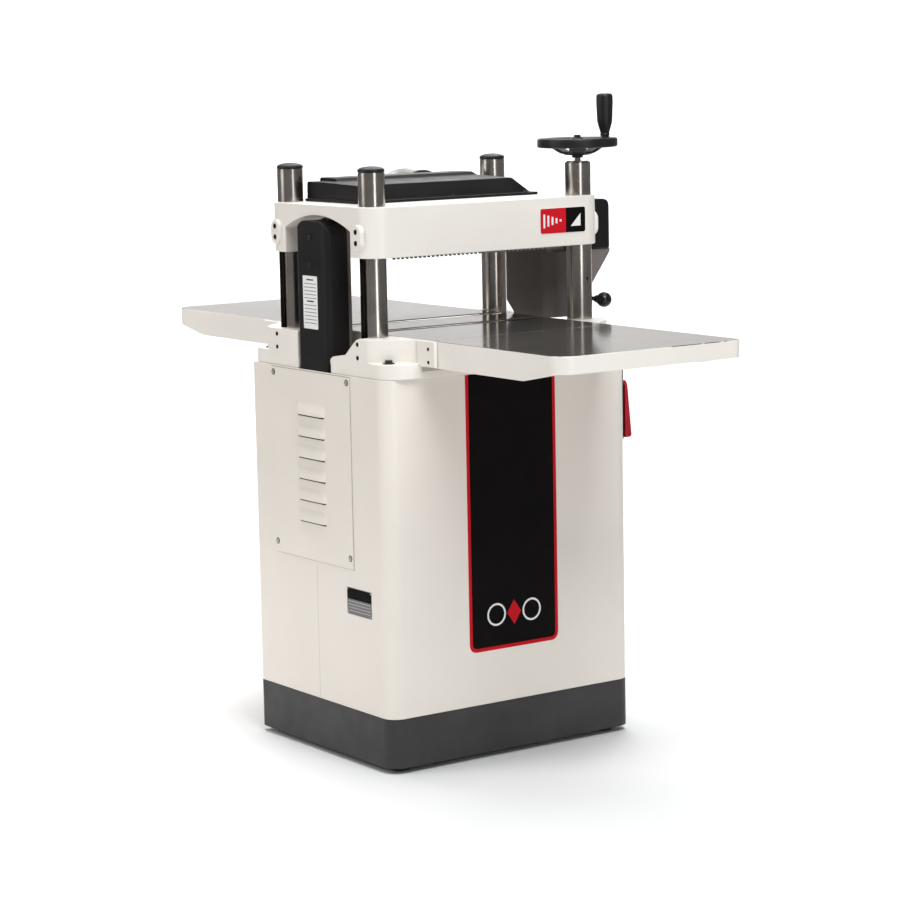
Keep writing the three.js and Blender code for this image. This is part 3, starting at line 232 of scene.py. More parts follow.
ZINC = worked_metal(
    "zinc_plate", (0.42, 0.40, 0.36), (0.55, 0.53, 0.50), (0.28, 0.4), (1, 1, 1), 500)
PRINT_RED = printed("printed_red", *two_tone((0.55, 0.012, 0.02), 0.03))
PRINT_BLACK = printed("printed_black", *two_tone((0.006, 0.005, 0.005), 0.1))
PRINT_WHITE = printed("printed_white", *two_tone((0.78, 0.78, 0.77), 0.01))
PRINT_GREY = printed("printed_grey", *two_tone((0.20, 0.20, 0.20), 0.05))
# A darker cream for the cabinet's seam, a dark joint, and for painted shadow round the louvred panel.
SEAM_AND_PAINTED_SHADOW = printed("seam_and_painted_shadow", *two_tone((0.42, 0.39, 0.36), 0.05))
# A near-black without shine: painted shade inside the louvres' openings and under their lips; it also colours
# the set screws and the marks along the infeed wing's edge.
NEAR_BLACK_AND_PAINTED_SHADE = powder_coat("near_black_and_painted_shade", (0.006, 0.006, 0.006), (0.01, 0.01, 0.01), shine=0.08)


# ---- mesh helpers ----
def add_object(name, mesh, *materials):
    obj = bpy.data.objects.new(name, mesh)
    bpy.context.scene.collection.objects.link(obj)
    for material in materials:
        mesh.materials.append(material)
    return obj


def from_bmesh(name, shape, *materials):
    """Turns a bmesh into an object with smooth faces, sharp where they meet steeply."""
    bmesh.ops.recalc_face_normals(shape, faces=shape.faces)
    mesh = bpy.data.meshes.new(name)
    shape.to_mesh(mesh)
    shape.free()
    mesh.shade_smooth()
    mesh.set_sharp_from_angle(angle=SHARP)
    return add_object(name, mesh, *materials)


def rounded(points, radius, steps=4, closed=True):
    """The outline with its corners rounded; a point's own third value replaces the radius."""
    result = []
    count = len(points)
    for i, point in enumerate(points):
        here = Vector(point[:2])
        reach = point[2] if len(point) > 2 else radius
        if reach == 0 or (not closed and i in (0, count - 1)):
            result.append(tuple(here))
            continue
        back = Vector(points[i - 1][:2]) - here
        on = Vector(points[(i + 1) % count][:2]) - here
        start = here + back.normalized() * min(reach, back.length * 0.49)
        end = here + on.normalized() * min(reach, on.length * 0.49)
        for k in range(steps + 1):
            t = k / steps
            result.append(tuple((1 - t) ** 2 * start + 2 * t * (1 - t) * here + t * t * end))
    return result


def rectangle(across, up, radius, steps=6):
    (x0, x1), (y0, y1) = across, up
    return rounded([(x0, y0), (x1, y0), (x1, y1), (x0, y1)], radius, steps)


ACROSS = {"X": (1, 2, 0), "Y": (0, 2, 1), "Z": (0, 1, 2)}


def at(axis, a, b, along):
    """The point with coordinates a and b across the axis, and the given place along it."""
    point = [0.0, 0.0, 0.0]
    for index, value in zip(ACROSS[axis], (a, b, along)):
        point[index] = value
    return point


def polygon_ring(sides):
    """How far a regular polygon's edge is from its centre, against its corners, by angle."""
    step = 2 * math.pi / sides
    return lambda angle, along: math.cos(step / 2) / math.cos((angle % step) - step / 2)


HEXAGON = polygon_ring(6)


def lathe_shape(profile, axis, centre, sides=64):
    """A turned bmesh. A profile point is (radius, place along the axis) and may add a ring's own shape."""
    shape = bmesh.new()
    rings = []
    for radius, along, *form in profile:
        if radius < 1e-7:
            rings.append([shape.verts.new(at(axis, *centre, along))] * sides)
            continue
        ring = []
        for i in range(sides):
            angle = 2 * math.pi * i / sides
            reach = radius * (form[0](angle, along) if form else 1)
            a, b = centre[0] + reach * math.cos(angle), centre[1] + reach * math.sin(angle)
            ring.append(shape.verts.new(at(axis, a, b, along)))
        rings.append(ring)
    if profile[0][0] > 1e-7:
        rings.append(rings[0])
    for ring, after in zip(rings, rings[1:]):
        for i in range(sides):
            j = (i + 1) % sides
            corners = list(dict.fromkeys([ring[i], ring[j], after[j], after[i]]))
            if len(corners) > 2:
                shape.faces.new(corners)
    return shape


def lathe(name, profile, axis, centre, material, sides=64):
    return from_bmesh(name, lathe_shape(profile, axis, centre, sides), material)


def prism_shape(outline, axis, span):
    shape = bmesh.new()
    ends = [[shape.verts.new(at(axis, a, b, along)) for a, b in outline] for along in span]
    for end in ends:
        shape.faces.new(end)
    count = len(outline)
    for i in range(count):
        j = (i + 1) % count
        shape.faces.new([ends[0][i], ends[0][j], ends[1][j], ends[1][i]])
    return shape


def prism(name, outline, axis, span, material, edge=0.0):
    obj = from_bmesh(name, prism_shape(outline, axis, span), material)
    return soften(obj, edge) if edge else obj


def soften(obj, width, segments=3):
    """Rounds the edges that are sharp, and keeps flat faces looking flat."""
    obj.data.shade_smooth()
    bevel = obj.modifiers.new("edges", "BEVEL")
    bevel.width = width
    bevel.segments = segments
    bevel.limit_method = "ANGLE"
    bevel.angle_limit = SHARP
    bevel.use_clamp_overlap = False
    bevel.loop_slide = False
    normals = obj.modifiers.new("normals", "WEIGHTED_NORMAL")
    normals.keep_sharp = False
    return obj


def apply_modifiers(obj):
    graph = bpy.context.evaluated_depsgraph_get()
    mesh = bpy.data.meshes.new_from_object(obj.evaluated_get(graph))
    obj.modifiers.clear()
    obj.data = mesh


def carve(obj, *cutters):
    """Cuts the closed cutters out of the object for good."""
    for cutter in cutters:
        tool = obj.modifiers.new("carve", "BOOLEAN")
        tool.operation = "DIFFERENCE"
        tool.solver = "EXACT"
        tool.object = cutter
    bpy.context.view_layer.update()
    apply_modifiers(obj)
    for cutter in cutters:
        bpy.data.objects.remove(cutter)
    return obj


def refined(node, material, edge=0.8 * MM, segments=2, weld=0.05 * MM, top=None):
    """A copy of a CAD node's mesh with rounded edges, which stands for the node."""
    shape = bmesh.new()
    shape.from_mesh(frame["nodes"][node].data)
    bmesh.ops.remove_doubles(shape, verts=shape.verts, dist=weld)
    bmesh.ops.dissolve_degenerate(shape, edges=shape.edges, dist=weld)
    bmesh.ops.dissolve_limit(shape, angle_limit=math.radians(1), verts=shape.verts, edges=shape.edges)
    for face in shape.faces:
        face.material_index = int(bool(top) and reaches_top(node, face))
    materials = [material, top] if top else [material]
    weights = shape.edges.layers.float.new("bevel_weight_edge")
    for line in shape.edges:
        if len(line.link_faces) == 2 and line.calc_face_angle() > SHARP:
            at_column = near_column((line.verts[0].co + line.verts[1].co) / 2)
            line[weights] = 0.15 if at_column else 1.0
    plain = BVHTree.FromBMesh(shape)
    obj = from_bmesh("shown_" + node, shape, *materials)
    soften(obj, edge, segments)
    obj.modifiers["edges"].limit_method = "WEIGHT"
    obj.modifiers.remove(obj.modifiers["normals"])
    apply_modifiers(obj)
    for vertex in obj.data.vertices:
        nearest, _, _, distance = plain.find_nearest(vertex.co)
        if distance > edge / 2:
            vertex.co = nearest
    obj.modifiers.new("normals", "WEIGHTED_NORMAL")
    return stand_for(obj, node)


def reaches_top(node, face):
    """True for a face of the node's upper surface and for the walls of the pockets cut into it."""
    if max(vertex.co.z for vertex in face.verts) < high(node).z - MM:
        return False
    centre = face.calc_center_median()
    inside = all(low(node)[i] + MM < centre[i] < high(node)[i] - MM for i in (0, 1))
    return face.normal.z > 0.9 or inside and abs(face.normal.z) < 0.1 and near_pocket(centre)


def near_pocket(point):
    """True within reach of a bed roller's pocket."""
    reach = 18 * MM
    return any(abs(point.y - middle(node).y) < reach for node in ("bed_roller_front", "bed_roller_rear"))


def near_column(point):
    """True on the wall of a column's bore, where only a fine edge fits."""
    reach = COLUMN_RADIUS + 2 * MM
    return any(math.hypot(point.x - x, point.y - y) < reach for x, y in map(column_at, CORNERS))


def stand_for(obj, *nodes):
    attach(obj, BODY_OF[nodes[0]])
    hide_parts(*nodes)
    return obj


def fit_to(obj, node):
    """An added detail that rides with a node and replaces nothing."""
    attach(obj, BODY_OF[node])
    return obj


def turned(node, profile, axis, material, sides, centre=None):
    """A turned piece that stands for a node, on the node's own axis unless a centre is given."""
    if centre is None:
        centre = [middle(node)[i] for i in ACROSS[axis][:2]]
    return stand_for(lathe("shown_" + node, profile, axis, centre, material, sides), node)


def in_mm(base, *points):
    """Profile points given in millimetres, whose second value is measured from the base."""
    return [(radius * MM, base + along * MM, *form) for radius, along, *form in points]


def grid(xs, ys, zs):
    """A point for every combination of the given places."""
    return [Vector((x, y, z)) for x in xs for y in ys for z in zs]


def gathered(name, shapes, material):
    """One object made of several closed shapes."""
    whole = bmesh.new()
    for part in shapes:
        mesh = bpy.data.meshes.new("part")
        part.to_mesh(mesh)
        part.free()
        whole.from_mesh(mesh)
        bpy.data.meshes.remove(mesh)
    return from_bmesh(name, whole, material)


def repeated(name, profile, spots, direction, material, sides=24, twist=0.0):
    """One object with a small turned shape at every spot; the profile runs along the direction."""
    turn = Vector(direction).to_track_quat("Z", "Y").to_matrix().to_4x4() @ Matrix.Rotation(twist, 4, "Z")
    parts = []
    for spot in spots:
        part = lathe_shape(profile, "Z", (0, 0), sides)
        part.transform(Matrix.Translation(spot) @ turn)
        parts.append(part)
    return gathered(name, parts, material)


def fasten(name, node, profile, spots, direction, material, sides=24, twist=0.0):
    """A set of screws or bolts that rides with a node."""
    fit_to(repeated(name, profile, spots, direction, material, sides, twist), node)


def print_on(node, name, axis, outline, face, material, thick=PROUD):
    """A thin printed plate on a left or front face of a node."""
    fit_to(prism(name, outline, axis, (face - thick, face), material), node)


def cap_screw(radius):
    """Profile of a socket head screw that sits on its face, with a hexagon recess."""
    head = radius * 0.9
    socket = radius * 0.55
    rim = radius * 0.12
    return [(0, -MM), (radius, -MM), (radius, head - rim), (radius - rim, head), (socket * 1.1, head),
            (socket, head - rim / 2, HEXAGON), (socket, head * 0.35, HEXAGON), (0, head * 0.3)]


def set_screw(radius):
    """Profile of a socket screw that stands a little above its hole's rim."""
    socket = radius * 0.5
    return [(0, -MM), (radius, -MM), (radius, 0.4 * MM), (radius * 0.9, 0.6 * MM), (socket * 1.1, 0.6 * MM),
            (socket, 0.5 * MM, HEXAGON), (socket, 0.12 * MM, HEXAGON), (0, 0.1 * MM)]


def hex_bolt(radius):
    """Profile of a hexagon head on a washer."""
    washer = radius * 0.22
    head = washer + radius * 0.75
    rim = radius * 0.12
    return [(0, -MM), (radius * 1.55, -MM), (radius * 1.55, washer * 0.8), (radius * 1.5, washer),
            (radius * 1.02, washer), (radius, washer + 0.05 * MM, HEXAGON), (radius, head - rim, HEXAGON),
            (radius * 0.84, head), (0, head)]


def pan_screw(radius):
    """Profile of a small domed screw with a cross recess."""
    cross = lambda angle, along: 0.3 + 0.7 * abs(math.cos(2 * angle)) ** 4
    return [(0, -MM), (radius, -MM), (radius, radius * 0.25), (radius * 0.8, radius * 0.5),
            (radius * 0.62, radius * 0.58), (radius * 0.56, radius * 0.56, cross),
            (radius * 0.5, radius * 0.1, cross), (0, 0)]


# ---- stand: cabinet, plinth and feet ----
def make_stand():
    refined("cabinet_shell", CREAM, 0.9 * MM)
    refined("plinth", PLINTH_GREY, 0.9 * MM)
    refined("rear_panel", CREAM, 0.5 * MM)
    corner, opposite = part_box("rear_panel")
    inset = 9 * MM
    spots = grid((corner.x + inset, CENTRE_X, opposite.x - inset), (opposite.y,),
                 (corner.z + inset, opposite.z - inset))
    fasten("rear_panel_screws", "rear_panel", pan_screw(3.6 * MM), spots, (0, 1, 0), ZINC)
    for tag in CORNERS:
        make_foot(tag)
    make_louvre_panel()
    make_cable_gland()
    make_front_stripe()
    make_rating_plate()
    make_seam()


def make_seam():
    """The upright seam below the louvred panel, where the cabinet's sheets meet."""
    y, half = 9 * MM, 0.35 * MM
    span = (low("cabinet_shell").z + 2 * MM, low("louvre_panel").z - 8 * MM)
    line = rectangle((y - half, y + half), span, half * 0.9, 3)
    print_on("cabinet_shell", "cabinet_seam", "X", line, SIDE_X, SEAM_AND_PAINTED_SHADOW, 0.05 * MM)


def make_foot(tag):
    node = f"foot_{tag}"
    radius = radius_of(node, 0)
    stud, ridge = 6 * MM, 0.7 * MM
    top = high(node).z
    pad = low("plinth").z - 0.3 * MM
    waist = radius - ridge
    profile = [(0, 0), (radius - 2 * MM, 0), (radius, 2 * MM), (radius, pad * 0.4), (waist, pad * 0.45),
               (waist, pad * 0.6), (radius, pad * 0.65), (radius, pad - MM), (radius - MM, pad),
               (stud, pad), (stud, top - MM), (stud - MM, top), (0, top)]
    turned(node, profile, "Z", RUBBER, 48)


def louvre(shape, face, middle_y, top, half, fall, bulge):
    """Adds one pressed louvre: a hollow that grows out of the sheet and opens at its lower edge."""
    across, down = 28, 12
    rows = []
    for j in range(down + 1):
        t = j / down
        swell = math.sin(t * math.pi / 2) ** 1.5
        row = []
        for i in range(across + 1):
            s = 2 * i / across - 1
            side = (1 - abs(s) ** 6) ** 0.5
            depth = bulge * swell * side
            row.append(shape.verts.new((face - depth, middle_y + half * s, top - fall * t)))
        rows.append(row)
    for upper, lower in zip(rows, rows[1:]):
        for i in range(across):
            shape.faces.new([upper[i], upper[i + 1], lower[i + 1], lower[i]]).material_index = 0
    # The lip's inner face takes the second material, a near-black that is painted shade inside the opening.
    back = 0.4 * MM
    lip = [shape.verts.new((min(v.co.x + 1.3 * MM, face + back), v.co.y, v.co.z)) for v in rows[-1]]
    inner = [shape.verts.new((face + back, v.co.y, v.co.z + 4 * MM)) for v in rows[-1]]
    for i in range(across):
        shape.faces.new([rows[-1][i], rows[-1][i + 1], lip[i + 1], lip[i]]).material_index = 0
        shape.faces.new([lip[i], lip[i + 1], inner[i + 1], inner[i]]).material_index = 1


def make_louvre_panel():
    corner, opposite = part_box("louvre_panel")
    thick, radius, border = 1.6 * MM, 3 * MM, 1.3 * MM
    inner = opposite.x
    face = inner - thick
    shape = prism_shape(rectangle((corner.y, opposite.y), (corner.z, opposite.z), radius), "X", (face, inner))
    first, pitch, count = opposite.z - 55 * MM, 37.6 * MM, 6
    middle_y = middle("louvre_panel").y - 2 * MM
    half, fall, shadow_strip_tall = 45 * MM, 21 * MM, 3.2 * MM
    shadow_strips = []
    for i in range(count):
        top = first - i * pitch
        louvre(shape, face, middle_y, top, half, fall, 5.2 * MM)
        # A near-black strip on the sheet under each lip: painted shadow below the louvre's opening.
        foot = [(middle_y - half * 0.97, top - fall), (middle_y + half * 0.97, top - fall),
                (middle_y + half * 0.9, top - fall - shadow_strip_tall), (middle_y - half * 0.9, top - fall - shadow_strip_tall)]
        shadow_strips.append(prism_shape(foot, "X", (face - 0.05 * MM, face + 0.5 * MM)))
    fit_to(gathered("louvre_painted_shadows", shadow_strips, NEAR_BLACK_AND_PAINTED_SHADE), "louvre_panel")
    panel = from_bmesh("shown_louvre_panel", shape, CREAM, NEAR_BLACK_AND_PAINTED_SHADE)
    stand_for(panel, "louvre_panel")
    # A thin darker ring just outside the panel's edge: painted shadow of the proud panel.
    across, up = (corner.y - border, opposite.y + border), (corner.z - border, opposite.z + border)
    shadow_ring = rectangle(across, up, radius)
    print_on("cabinet_shell", "louvre_panel_painted_shadow", "X", shadow_ring, SIDE_X, SEAM_AND_PAINTED_SHADOW, 0.05 * MM)
    spots = grid((face,), (corner.y + 8 * MM, opposite.y - 8 * MM), (corner.z + 19 * MM, opposite.z - 9 * MM))
    ring = in_mm(0, (4.2, -1), (5.6, -1), (5.6, 0.3), (4.2, 0.3))
    left = (-1, 0, 0)
    fasten("louvre_panel_screws", "louvre_panel", pan_screw(4 * MM), spots, left, ZINC, twist=0.3)
    fasten("louvre_panel_washers", "louvre_panel", ring, spots, left, BLACK_OXIDE, 32)


def make_cable_gland():
    node = "cable_gland"
    start, end = low(node).y, high(node).y
    radius, bore = radius_of(node, 2, 0), 4.5 * MM
    nut, neck = radius * 0.98, radius * 0.8
    profile = [(bore, start), (nut, start, HEXAGON), (nut, start + 6 * MM, HEXAGON), (neck, start + 6.6 * MM),
               (neck, start + 8 * MM), (radius * 0.88, start + 8.5 * MM), (radius * 0.84, end - 2 * MM),
               (radius * 0.6, end), (bore, end)]
    turned(node, profile, "Y", BLACK_PLASTIC, 48)


def make_front_stripe():
    """A black stripe with a red border, from under the table down the cabinet's front."""
    bottom, top = 190 * MM, high("cabinet_shell").z - 3 * MM
    node, border = "cabinet_shell", 6.5 * MM

    def outline(inset):
        left, right = CENTRE_X - 96 * MM + inset, CENTRE_X + 96 * MM - inset
        points = [(left, bottom + inset), (right, bottom + inset), (right, top, 0), (left, top, 0)]
        return rounded(points, 17 * MM - inset, 8)

    print_on(node, "front_stripe_border", "Y", outline(0), FRONT_Y, PRINT_RED)
    print_on(node, "front_stripe", "Y", outline(border), FRONT_Y - PROUD, PRINT_BLACK)
    make_emblem(bottom + 62 * MM)


def make_emblem(height):
    """A plain ornament low on the stripe: two pale rings with a red lozenge between them."""
    face = FRONT_Y - 2 * PROUD
    for name, side in (("left", -1), ("right", 1)):
        spot = Vector((CENTRE_X + side * 38 * MM, face, height))
        profile = in_mm(0, (16.5, -0.1), (20, -0.1), (20, 0.1), (16.5, 0.1))
        ring = repeated(f"emblem_ring_{name}", profile, [spot], (0, -1, 0), PRINT_WHITE, 64)
        fit_to(ring, "cabinet_shell")
    wide, tall = 15 * MM, 22 * MM
    lozenge = [(CENTRE_X - wide, height), (CENTRE_X, height - tall), (CENTRE_X + wide, height),
               (CENTRE_X, height + tall)]
    print_on("cabinet_shell", "emblem_lozenge", "Y", lozenge, face, PRINT_RED, 0.15 * MM)


def make_rating_plate():
    """A small plate with a black head and empty ruled lines."""
    node = "cabinet_shell"
    y, z = (-162 * MM, -86 * MM), (264 * MM, 311 * MM)
    split, proud = z[1] - 20 * MM, SIDE_X - PROUD
    head = rectangle((y[0] + MM, y[1] - MM), (split, z[1] - MM), MM)
    print_on(node, "rating_plate", "X", rectangle(y, z, 2 * MM), SIDE_X, PRINT_GREY)
    print_on(node, "rating_plate_head", "X", head, proud, PRINT_BLACK)
    for i in range(4):
        level = split - (4 + 5.5 * i) * MM
        line = rectangle((y[0] + 4 * MM, y[1] - 4 * MM), (level, level + 0.5 * MM), 0)
        name = f"rating_plate_line_{i + 1}"
        print_on(node, name, "X", line, proud, PRINT_WHITE, 0.1 * MM)
    spots = grid((proud,), (y[0] + 3 * MM, y[1] - 3 * MM), (z[0] + 3 * MM, z[1] - 3 * MM))
    rivet = in_mm(0, (0, 0), (1.4, 0), (1.2, 0.5), (0.7, 0.8), (0, 0.9))
    fasten("rating_plate_rivets", node, rivet, spots, (-1, 0, 0), ZINC, 16)


# ---- base casting, table and wings ----
def make_bed():
    refined("base_casting", CREAM_CAST, 1.3 * MM, 3)
    refined("main_table", CREAM_CAST, 0.6 * MM, 2, top=GROUND_IRON)
    for node in ("infeed_wing", "outfeed_wing"):
        refined(node, CREAM_CAST, 1.2 * MM, 3, top=GROUND_IRON)
    make_bed_rollers()
    make_base_fasteners()
    make_dark_edge_marks()


def make_dark_edge_marks():
    """Ragged near-black marks along the infeed wing's free edge."""
    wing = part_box("infeed_wing")
    edge, reach = 1.2 * MM, 3.2 * MM
    bend = edge + 0.06 * MM
    middle_y, middle_z = wing[0].y + edge, wing[1].z - edge
    turns = [math.radians(20 + 17.5 * k) for k in range(5)]
    root = (middle_y, middle_z)
    edge_marks = []
    for start, end in ((34, 97), (104, 137), (146, 151)):
        shape = bmesh.new()
        rows = []
        for i in range(end - start + 1):
            x = CENTRE_X + (start + i) * MM
            swell = math.sin(math.pi * i / (end - start)) ** 0.3
            ragged = 0.55 + 0.45 * math.sin(1.3 * i + start) * math.sin(0.41 * i + 1)
            over = [(middle_y - bend * math.cos(t), middle_z + bend * math.sin(t)) for t in turns]
            over.append((middle_y + reach * swell * ragged, middle_z + bend))
            rows.append([shape.verts.new((x, y, z)) for y, z in [*over, root]])
        count = len(rows[0])
        for row, after in zip(rows, rows[1:]):
            for j in range(count):
                k = (j + 1) % count
                shape.faces.new([row[j], after[j], after[k], row[k]])
        shape.faces.new(rows[0])
        shape.faces.new(rows[-1])
        edge_marks.append(shape)
    fit_to(gathered("infeed_wing_dark_marks", edge_marks, NEAR_BLACK_AND_PAINTED_SHADE), "infeed_wing")


def make_bed_rollers():
    for node in ("bed_roller_front", "bed_roller_rear"):
        start, end = low(node).x, high(node).x
        radius, journal, shoulder = radius_of(node, 2), 6 * MM, 5 * MM
        inner, outer = start + shoulder, end - shoulder
        outline = [(journal, start), (journal, inner), (radius, inner), (radius, outer), (journal, outer),
                   (journal, end)]
        profile = rounded(outline, 0.8 * MM, 3, False)
        turned(node, [(0, start), *profile, (0, end)], "X", GROUND_STEEL, 72)


def make_base_fasteners():
    node = "base_casting"
    for name, x, way in (("left", low(node).x, -1), ("right", high(node).x, 1)):
        spots = grid((x,), (-COLUMN_Y - 3 * MM, COLUMN_Y - 3 * MM), (733.5 * MM, 710.5 * MM))
        fasten(f"socket_screws_{name}", node, set_screw(3.8 * MM), spots, (way, 0, 0), NEAR_BLACK_AND_PAINTED_SHADE)
    flange_x, flange_y = 197 * MM, 254 * MM
    for name, way in (("left", -1), ("right", 1)):
        spots = grid((CENTRE_X + way * flange_x,), (-flange_y, flange_y), (730 * MM, 708 * MM))
        fasten(f"wing_bolts_{name}", node, set_screw(3.0 * MM), spots, (way, 0, 0), NEAR_BLACK_AND_PAINTED_SHADE)
    ledge_x = 237 * MM
    spots = grid((CENTRE_X - ledge_x, CENTRE_X + ledge_x), (-195 * MM, 180 * MM), (LEDGE_TOP,))
    fasten("ledge_bolts", node, hex_bolt(6.5 * MM), spots, (0, 0, 1), BLACK_OXIDE, 36, 0.4)


# ---- columns, screws and the handwheel ----
def make_columns():
    for tag in CORNERS:
        make_column(tag)
        make_lead_screw(tag)
        if tag != "rf":
            make_column_cap(tag)
        refined(f"lead_nut_{tag}", BRONZE, 0.5 * MM)
    make_bushing()
    make_height_scale()


def make_column(tag):
    node = f"column_{tag}"
    centre = column_at(tag)
    bottom, top = low(node).z, high(node).z
    bore, chamfer = 16 * MM, 0.7 * MM
    profile = [(COLUMN_RADIUS, bottom), (COLUMN_RADIUS, top - chamfer), (COLUMN_RADIUS - chamfer, top),
               (bore, top), (bore, bottom)]
    tube = lathe("shown_" + node, profile, "Z", centre, GROUND_STEEL, 96)
    half, corner = 10 * MM, 0.8 * MM
    slot = rectangle((centre[1] - half, centre[1] + half), (SLOT_BOTTOM, SLOT_TOP), corner)
    reach = sorted((centre[0], centre[0] + CORNERS[tag][0] * 2 * COLUMN_RADIUS))
    carve(tube, prism("cutter", slot, "X", reach, GROUND_STEEL))
    tube.data.set_sharp_from_angle(angle=SHARP)
    stand_for(tube, node)


def thread(pitch, depth):
    """The shape of a thread: how the radius changes round the screw and along it."""
    return lambda angle, along: 1 + depth * abs(2 * ((along / pitch + angle / (2 * math.pi)) % 1) - 1)


def sprocket_teeth(count):
    return lambda angle, along: 1 + 0.09 * math.cos(count * angle)


def make_lead_screw(tag):
    node = f"lead_screw_{tag}"
    bottom, top = low(node).z, high(node).z
    teeth = sprocket_teeth(20)
    body, root, pitch, neck = 8 * MM, 6.9 * MM, 2 * MM, 5.5 * MM
    cut_from, cut_to, shoulder = SLOT_BOTTOM, COLUMN_TOP - 22 * MM, COLUMN_TOP - 16 * MM
    profile = in_mm(bottom, (0, 0), (7.5, 0), (8, 1), (8, 4), (13, 4), (13, 8), (15.7, 8, teeth),
                    (15.7, 13, teeth), (8, 13))
    profile.append((body, cut_from))
    step = pitch / 4
    helix = thread(pitch, 0.15)
    profile += [(root, cut_from + k * step, helix) for k in range(1, int((cut_to - cut_from) / step))]
    profile += [(body, cut_to), (body, shoulder - MM), (7 * MM, shoulder), (neck, shoulder),
                (neck, top - 0.5 * MM), (neck - 0.5 * MM, top), (0, top)]
    turned(node, profile, "Z", CUT_STEEL, 24, column_at(tag))


def make_column_cap(tag):
    node = f"column_cap_{tag}"
    bottom, top = low(node).z, high(node).z
    radius, plug, rim = radius_of(node, 0), 15.6 * MM, 3.2 * MM
    crown = top - CAP_SEAT - rim
    turns = [math.pi / 2 * k / 10 for k in range(10)]
    dome = [(radius * math.cos(t), CAP_SEAT + rim + crown * math.sin(t)) for t in turns]
    profile = [(0, bottom), (plug, bottom), (plug, CAP_SEAT), (radius - 0.6 * MM, CAP_SEAT),
               (radius, CAP_SEAT + 0.6 * MM), *dome, (0, top)]
    turned(node, profile, "Z", BLACK_PLASTIC, 72, column_at(tag))


def make_bushing():
    node = "column_bushing"
    bottom, top = low(node).z, high(node).z
    bore, plug, rim, chamfer = 5.8 * MM, 15.7 * MM, 20 * MM, 0.3 * MM
    profile = [(bore, bottom), (plug, bottom), (plug, CAP_SEAT), (rim - chamfer, CAP_SEAT),
               (rim, CAP_SEAT + chamfer), (rim, top - 0.4 * MM), (rim - 0.4 * MM, top), (bore, top)]
    turned(node, profile, "Z", TURNED_STEEL, 64, column_at("rf"))


def make_height_scale():
    """Tick marks and a pointer on the front column, next to the gear case."""
    x, y = column_at("rf")
    facing = math.radians(-87)
    radius = COLUMN_RADIUS + 0.15 * MM
    shape = bmesh.new()

    def patch(angle, height, width, tall, taper=1.0):
        spread = width / radius
        corners = [(-1, 0), (1, 0), (taper, tall), (-taper, tall)]
        steps = [(facing + angle + s * spread / 2, height + up) for s, up in corners]
        ring = [shape.verts.new((x + radius * math.cos(a), y + radius * math.sin(a), z)) for a, z in steps]
        shape.faces.new(ring)

    first = 812 * MM
    for i in range(15):
        width = 7 * MM if i % 5 == 0 else 4 * MM
        patch((7 * MM - width) / 2 / radius, first + (12 + 3 * i) * MM, width, 0.5 * MM)
    patch(0, first, 0.6 * MM, 7 * MM, 9)
    scale = from_bmesh("height_scale", shape, PRINT_BLACK)
    solid = scale.modifiers.new("thickness", "SOLIDIFY")
    solid.thickness = 0.06 * MM
    fit_to(scale, "column_rf")


RIM_TOP = low("handle").z - 1.8 * MM
RIM_BOTTOM = RIM_TOP - 16.9 * MM


def make_handwheel():
    node = "handwheel"
    x, y = column_at("rf")
    hub = low(node).z
    radius = radius_of(node, 0)
    dish = rounded([
        *in_mm(hub, (5.8, 0), (10, 0), (10, 4.4), (20, 4.4)),
        *in_mm(RIM_BOTTOM, (32, -10), (41, -5), (48, 0), (62, 0)),
        (radius, RIM_BOTTOM, 4 * MM), (radius, RIM_TOP - MM, 5 * MM),
        *in_mm(RIM_TOP, (66, 0, 3 * MM), (57, -2, 3 * MM)),
        *in_mm(RIM_BOTTOM, (50, 6), (36, -1)),
        *in_mm(hub, (20, 7.4), (15, 9.4)),
        *in_mm(RIM_TOP, (14, -1.2), (5.8, -1.2))], 1.5 * MM, 3)
    wheel = lathe("shown_handwheel", dish, "Z", (x, y), BLACK_PLASTIC, 120)
    handle = middle("handle")
    handle_angle = math.atan2(handle.y - y, handle.x - x)
    spokes, spread = 3, 0.72
    windows = []
    for i in range(spokes):
        turn = handle_angle + (i + 0.5) * 2 * math.pi / spokes
        far = [(50 * MM, turn + spread * (2 * k / 10 - 1)) for k in range(11)]
        near = [(27 * MM, turn + spread * 0.8 * (1 - 2 * k / 6)) for k in range(7)]
        outline = [(x + r * math.cos(a), y + r * math.sin(a)) for r, a in far + near]
        outline = rounded(outline, 3 * MM, 2)
        windows.append(prism("cutter", outline, "Z", (hub - MM, RIM_TOP + MM), BLACK_PLASTIC))
    carve(wheel, *windows)
    soften(wheel, 0.8 * MM, 2)
    stand_for(wheel, node)
    at_handle = (handle.x, handle.y)
    foot = RIM_BOTTOM + MM
    boss = [(0, foot), (8 * MM, foot), (9 * MM, foot + MM), *in_mm(RIM_TOP, (9, -2), (8, -1), (0, -1))]
    spindle_top = high(node).z
    spindle = [(0, foot), (3.5 * MM, foot), (3.5 * MM, spindle_top - MM), (0, spindle_top)]
    collar = in_mm(RIM_TOP, (3.6, -0.5), (7.5, -0.5), (7.5, 0.9), (6.8, 1.5), (3.6, 1.5))
    fit_to(lathe("handwheel_boss", boss, "Z", at_handle, BLACK_PLASTIC, 40), node)
    fit_to(lathe("handwheel_spindle", spindle, "Z", at_handle, TURNED_STEEL, 32), node)
    fit_to(lathe("handwheel_collar", collar, "Z", at_handle, BLACK_OXIDE, 40), node)
    spots = [Vector((x, y, RIM_TOP - 1.2 * MM))]
    fasten("handwheel_nut", node, hex_bolt(6.5 * MM), spots, (0, 0, 1), BLACK_OXIDE, 36)


